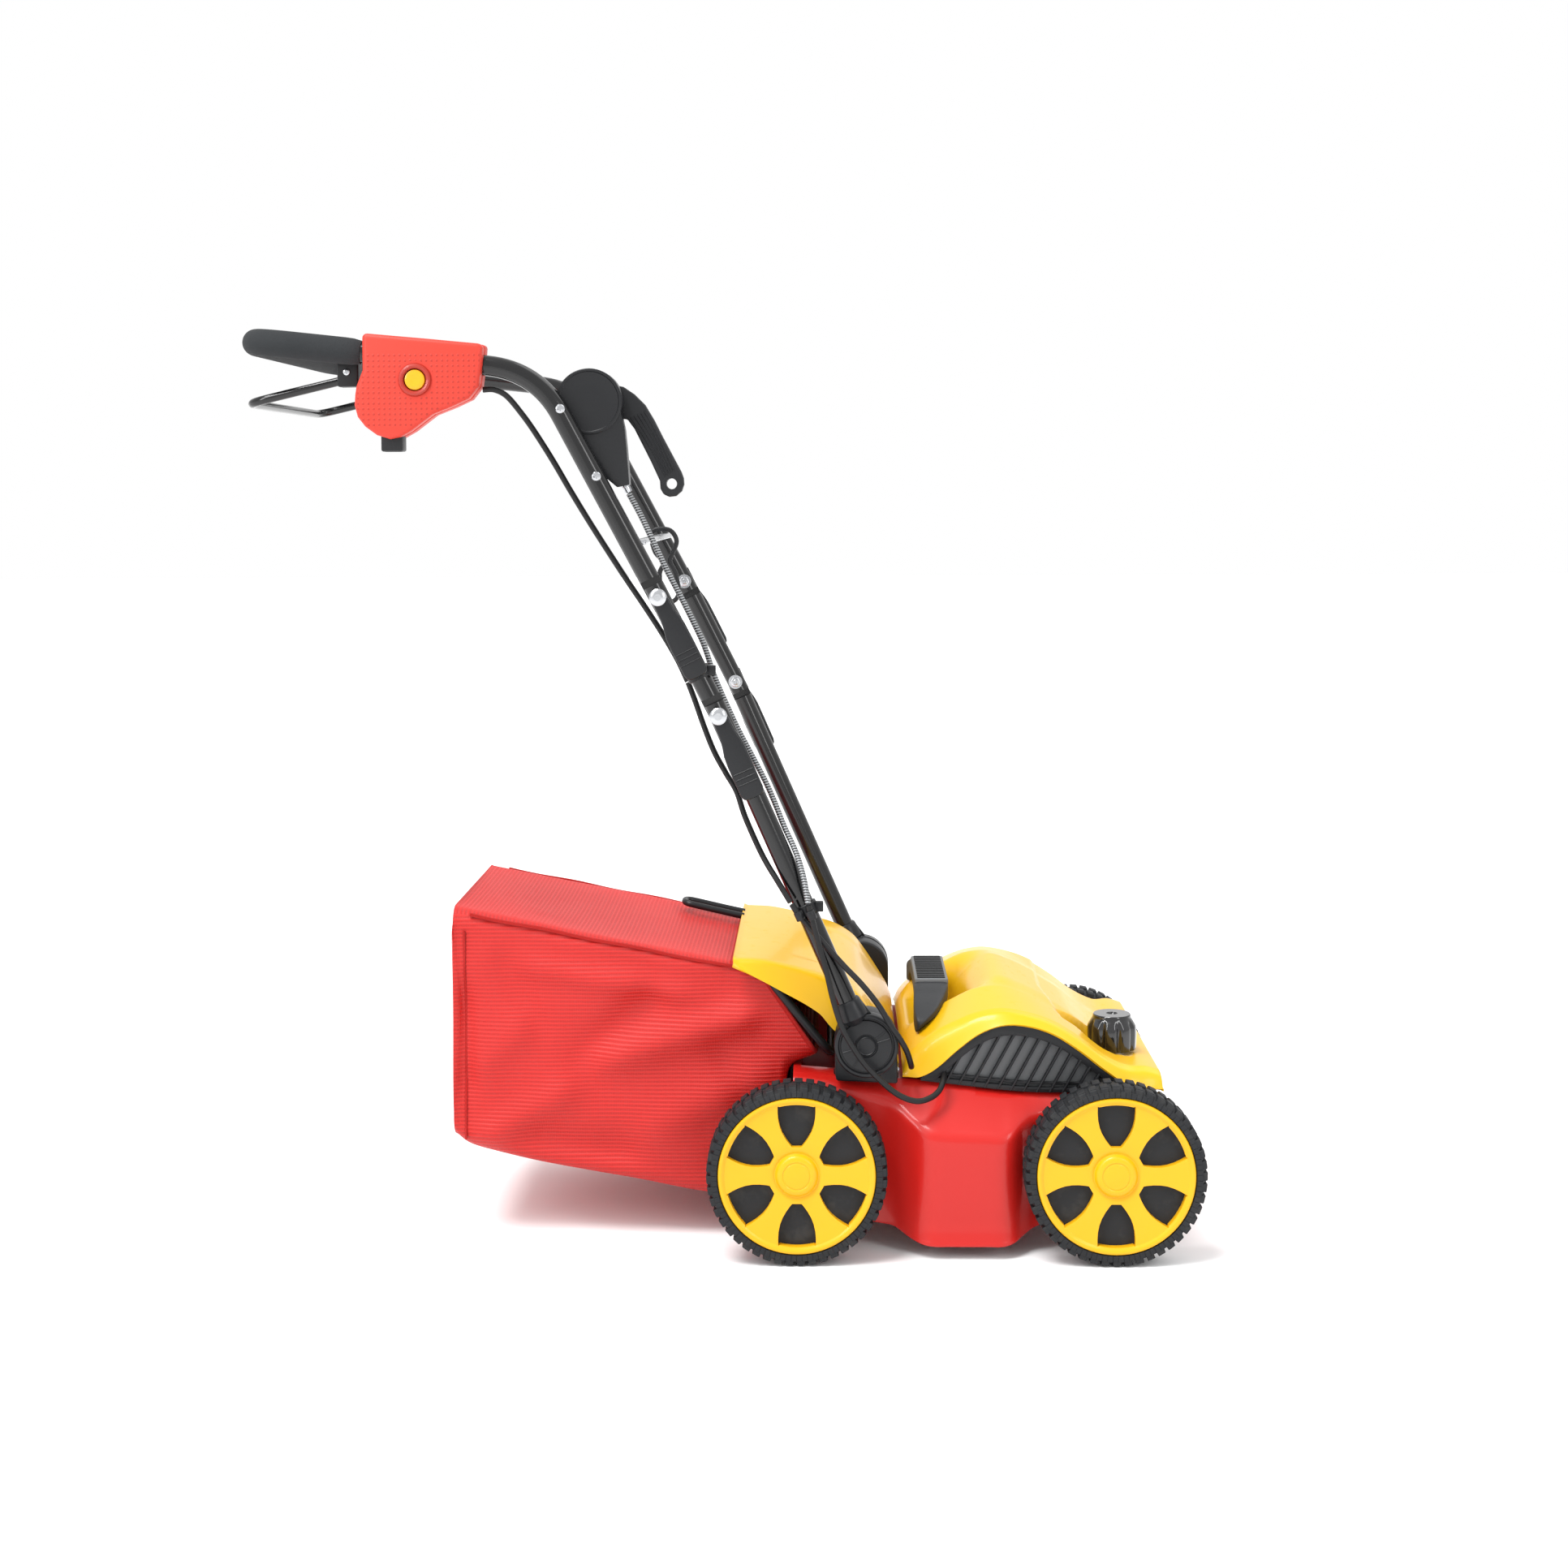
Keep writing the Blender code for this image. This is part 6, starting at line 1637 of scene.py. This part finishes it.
class SCARIFIER_OT_handle(bpy.types.Operator):
    """Model the joint covers, tubes, foam grip, clamps and bolts of the folding handle"""
    bl_idname = "scarifier.handle"
    bl_label = "Handle"

    def execute(self, context):
        low_way, mid_way = way(PIVOT, LOWER_CLAMP), way(LOWER_CLAMP, UPPER_CLAMP)
        for side, sign in SIDES:
            put(pivot_bracket("joint_bracket_" + side, sign), "black", "machine", ("pivot_bracket_" + side,))
            put(pivot_cover("joint_cover_" + side, sign), "satin", "lower_handle", ("pivot_cover_" + side,))
            foot, tip = on_line(PIVOT, low_way, 0.0400), on_line(LOWER_CLAMP, low_way, TIP)
            tube = tube_leg("tube_low_" + side, (foot.x, foot.z), (tip.x, tip.z), sign)
            carve(tube, lap_block(LOWER_CLAMP, -low_way, True, sign))
            put(tube, "paint", "lower_handle", ("lower_tube_" + side,))
            foot, tip = on_line(LOWER_CLAMP, mid_way, -TIP), on_line(UPPER_CLAMP, mid_way, TIP)
            tube = tube_leg("tube_mid_" + side, (foot.x, foot.z), (tip.x, tip.z), sign)
            carve(tube, lap_block(LOWER_CLAMP, mid_way, False, sign))
            carve(tube, lap_block(UPPER_CLAMP, -mid_way, True, sign))
            put(tube, "paint", "middle_handle", ("middle_tube_" + side,))
            for level, clamp, along, body in (("lower", LOWER_CLAMP, -low_way, "lower_handle"),
                                              ("upper", UPPER_CLAMP, -mid_way, "middle_handle")):
                label = f"quick_lever_{level}_{side}"
                put(quick_lever("cam_" + level + "_" + side, clamp, along, sign), "satin", label, (label,))
                pin = turned("pin", [(0, sign * 0.2200), (0.0040, sign * 0.2200), (0.0040, sign * 0.2445),
                                     (0, sign * 0.2445)], clamp[0], clamp[1], 24)
                cap = turned("cap", [(0, sign * 0.2398), (0.0098, sign * 0.2398), (0.0094, sign * 0.2418),
                                     (0.0075, sign * 0.2434), (0.0040, sign * 0.2441), (0, sign * 0.2443)],
                             clamp[0], clamp[1], 40)
                nut = hex_nut("nut", Vector((clamp[0], sign * (HALF - TUBE - 0.0004), clamp[1])),
                              (0, -sign, 0),
                              0.0070, 0.0050)
                put(join([pin, cap, nut]), "zinc", body, (), 35,
                    ("lower_tube_" if level == "lower" else "middle_tube_")
                    + side).name = "bolt_" + level + "_" + side
        loop, path = handle_loop("handle_loop")
        put(loop, "paint", "upper_handle", ("upper_handle",))
        rear = [p for p in path if p.x < -0.4755]
        near, far = Vector((-0.4755, -HALF, 1.00697)), Vector((-0.4755, HALF, 1.00697))
        slope = (Vector((BEND[0], 0, BEND[1])) - Vector((GRIP[0], 0, GRIP[1]))).normalized()
        start = Vector((GRIP[0], 0, GRIP[1])) + slope * ((-0.4755 - GRIP[0]) / slope.x)
        near.z = far.z = start.z
        lead = [near.lerp(rear[0], k / 8) for k in range(8)]
        tail = [rear[-1].lerp(far, (k + 1) / 8) for k in range(8)]
        route = lead + rear + tail
        sizes = [0.0150] * len(route)
        for k, size in enumerate((0.0128, 0.0146)):
            sizes[k] = sizes[-1 - k] = size
        grip = put(rod("grip_sleeve", route, 0.015, 36, radii=sizes), "foam", "upper_handle",
                   ("foam_grip",), 50)
        for number, at in enumerate(((-0.2560, 0.9420), (-0.2170, 0.8680))):
            screw = screw_head("leg_screw_" + str(number), Vector((at[0], -HALF - TUBE + 0.0012, at[1])),
                               (0, -1, 0), 0.0052)
            put(screw, "zinc", "upper_handle", (), 35, "upper_handle")
        return {"FINISHED"}


class SCARIFIER_OT_controls(bpy.types.Operator):
    """Model the switch box, bail, lift lever, crossbar and cord hook"""
    bl_idname = "scarifier.controls"
    bl_label = "Controls"

    def execute(self, context):
        put(switch_box("switch_housing"), "box", "upper_handle", ("switch_box",))
        put(button_collar("start_collar"), "collar", "upper_handle", (), 35, "switch_box")
        put(mains_inlet("mains_inlet"), "black", "upper_handle", (), 35, "switch_box")
        put(button_cap("start_cap"), "button", "start_button", ("start_button",))
        bar = [(-0.495, -0.172, 0.980), (-0.613, -0.172, 0.952), (-0.613, 0.172, 0.952),
               (-0.495, 0.172, 0.980)]
        put(rod("bail_bar", bent(bar, 0.022, 10), 0.005, 20), "paint", "bail", ("bail",))
        for side, sign in SIDES:
            put(bail_bracket("bail_mount_" + side, sign), "black", "upper_handle", ("bail_bracket_" + side,))
            screw = screw_head("bail_screw_" + side, Vector((-0.4960, sign * 0.2010, 0.9850)), (0, sign, 0),
                               0.0042)
            put(screw, "zinc", "upper_handle", (), 35, "upper_handle")
        put(lever_housing("lift_drum"), "satin", "upper_handle", ("lever_housing",))
        put(ferrule("sheath_ferrule"), "zinc", "upper_handle", (), 35, "lever_housing")
        put(lift_lever("lift_arm"), "black", "lift_lever", ("lift_lever",))
        bar_x, bar_z, reach = -0.172, 0.795, HALF - TUBE - 0.0003
        cross = slab("cross_brace", bar_x - 0.0070, bar_x + 0.0070, -reach, reach, bar_z - 0.0028,
                     bar_z + 0.0028,
                     0.0012)
        put(cross, "zinc", "upper_handle", ("crossbar",))
        top, low = bar_z + 0.009, bar_z - 0.080
        shape = [(bar_x - 0.013, 0.095, top - 0.004), (bar_x - 0.003, 0.095, top + 0.001),
                 (bar_x + 0.013, 0.095, top - 0.001), (bar_x + 0.0205, 0.095, top - 0.014),
                 (bar_x + 0.0150, 0.095, top - 0.030), (bar_x + 0.0120, 0.095, top - 0.040),
                 (bar_x + 0.0190, 0.095, top - 0.055), (bar_x + 0.0225, 0.095, low + 0.010),
                 (bar_x + 0.0150, 0.095, low), (bar_x + 0.0040, 0.095, low + 0.006),
                 (bar_x - 0.0010, 0.095, top - 0.055), (bar_x + 0.0050, 0.095, top - 0.040),
                 (bar_x - 0.0060, 0.095, top - 0.028)]
        ring = smooth_path(shape + [shape[0]], 5)[:-1]
        put(rod("cord_loop", ring, 0.0030, 14, closed=True), "black", "upper_handle", ("cord_hook",))
        return {"FINISHED"}


class SCARIFIER_OT_cables(bpy.types.Operator):
    """Model the power cable, the sheathed lift cable and their strap clips"""
    bl_idname = "scarifier.cables"
    bl_label = "Cables"

    def execute(self, context):
        radius = context.scene.scarifier_sizes.cable
        run_cable("power", POWER, [SURFACES["cable"]] * 3, radius)
        run_cable("lift", LIFT, [SURFACES["sheath"], SURFACES["sheath"], SURFACES["cable"]], radius)
        low_way, mid_way = way(PIVOT, LOWER_CLAMP), way(LOWER_CLAMP, UPPER_CLAMP)
        at = on_line(PIVOT, low_way, 0.166)
        clip = strap_clip("strap_low", (at.x, at.z), low_way,
                          (Vector((0.004, -0.2338, 0.384)), Vector((0.0170, -0.2411, 0.386))))
        put(clip, "black", "lower_handle", ("cable_clip_lower",))
        at = on_line(UPPER_CLAMP, mid_way, -0.095)
        clip = strap_clip("strap_mid", (at.x, at.z), mid_way, ())
        put(clip, "black", "middle_handle", ("cable_clip_middle",))
        return {"FINISHED"}


class SCARIFIER_OT_stage(bpy.types.Operator):
    """Set out the floor, the lights and the camera"""
    bl_idname = "scarifier.stage"
    bl_label = "Stage"

    def execute(self, context):
        scene = context.scene
        drop_selection()
        bpy.ops.mesh.primitive_plane_add(size=40.0)
        floor = context.object
        floor.name = "studio_floor"
        floor.data.transform(Matrix.Translation((0, 0, -0.0004)))
        floor.data.materials.append(pale_floor("pale_floor", scene.scarifier_colours.floor))
        world = bpy.data.worlds.new("studio")
        scene.world = world
        world.use_nodes = True
        world.node_tree.nodes["Background"].inputs["Color"].default_value = (1.0, 1.0, 1.0, 1.0)
        world.node_tree.nodes["Background"].inputs["Strength"].default_value = 1.0
        for name, towards, strength, spread in (("key", (-0.42, -0.38, 1.2), 2.5, 24),
                                                ("rim", (0.7, 0.5, 1.1), 0.5, 40)):
            drop_selection()
            bpy.ops.object.light_add(type="SUN", location=(0, 0, 3))
            light = context.object
            light.name = name + "_light"
            light.data.energy = strength
            light.data.angle = math.radians(spread)
            light.rotation_euler = Vector(towards).to_track_quat("Z", "Y").to_euler()
        for name, at, size, power in (("strip", (-1.6, -1.7, 1.9), (0.35, 1.8), 26),
                                      ("soft", (1.7, -1.9, 1.6), (0.5, 1.4), 14)):
            drop_selection()
            bpy.ops.object.light_add(type="AREA", location=at)
            light = context.object
            light.name = name + "_light"
            light.data.shape = "RECTANGLE"
            light.data.size, light.data.size_y = size
            light.data.energy = power
            light.rotation_euler = (Vector((0, 0, 0.35)) - Vector(at)).to_track_quat("-Z", "Y").to_euler()
        bpy.ops.object.camera_add(location=(0.122, -2.649, 0.848))
        camera = context.object
        camera.name = "camera"
        yaw, pitch, roll = (math.radians(value) for value in (-1.17, 2.49, -0.25))
        ahead = Vector((math.sin(yaw) * math.cos(pitch), math.cos(yaw) * math.cos(pitch), -math.sin(pitch)))
        right = ahead.cross(Vector((0, 0, 1))).normalized()
        up = right.cross(ahead)
        right, up = (right * math.cos(roll) + up * math.sin(roll),
                     up * math.cos(roll) - right * math.sin(roll))
        camera.matrix_world = basis(right, up, -ahead, camera.location)
        camera.data.lens = scene.scarifier_sizes.lens
        camera.data.sensor_width = 36.0
        camera.data.shift_y = -0.1237
        scene.camera = camera
        scene.view_settings.view_transform = "Standard"
        return {"FINISHED"}


def basis(right, up, back, at):
    """The matrix with these axes and this place."""
    rows = [(right[i], up[i], back[i], at[i]) for i in range(3)]
    return Matrix(rows + [(0, 0, 0, 1)])


OPERATORS = (SCARIFIER_OT_surfaces, SCARIFIER_OT_stage, SCARIFIER_OT_cables, SCARIFIER_OT_wheels,
             SCARIFIER_OT_deck, SCARIFIER_OT_hood, SCARIFIER_OT_bag, SCARIFIER_OT_handle,
             SCARIFIER_OT_controls)


class SCARIFIER_PT_panel(bpy.types.Panel):
    """Lists the scarifier's operators and settings"""
    bl_idname = "SCARIFIER_PT_panel"
    bl_label = "Lawn scarifier"
    bl_space_type = "VIEW_3D"
    bl_region_type = "UI"
    bl_category = "Scarifier"

    def draw(self, context):
        for operator in OPERATORS:
            self.layout.operator(operator.bl_idname)
        for group in (context.scene.scarifier_colours, context.scene.scarifier_sizes):
            for key in group.__annotations__:
                self.layout.prop(group, key)


CLASSES = (ScarifierColours, ScarifierSizes, *OPERATORS, SCARIFIER_PT_panel)


def register():
    for entry in CLASSES:
        bpy.utils.register_class(entry)
    bpy.types.Scene.scarifier_colours = bpy.props.PointerProperty(type=ScarifierColours)
    bpy.types.Scene.scarifier_sizes = bpy.props.PointerProperty(type=ScarifierSizes)


def unregister():
    del bpy.types.Scene.scarifier_sizes
    del bpy.types.Scene.scarifier_colours
    for entry in reversed(CLASSES):
        bpy.utils.unregister_class(entry)


def main():
    register()
    bpy.ops.scarifier.surfaces()
    bpy.ops.scarifier.stage()
    bpy.ops.scarifier.cables()
    bpy.ops.scarifier.wheels()
    bpy.ops.scarifier.deck()
    bpy.ops.scarifier.hood()
    bpy.ops.scarifier.bag()
    bpy.ops.scarifier.handle()
    bpy.ops.scarifier.controls()


if __name__ == "__main__":
    main()
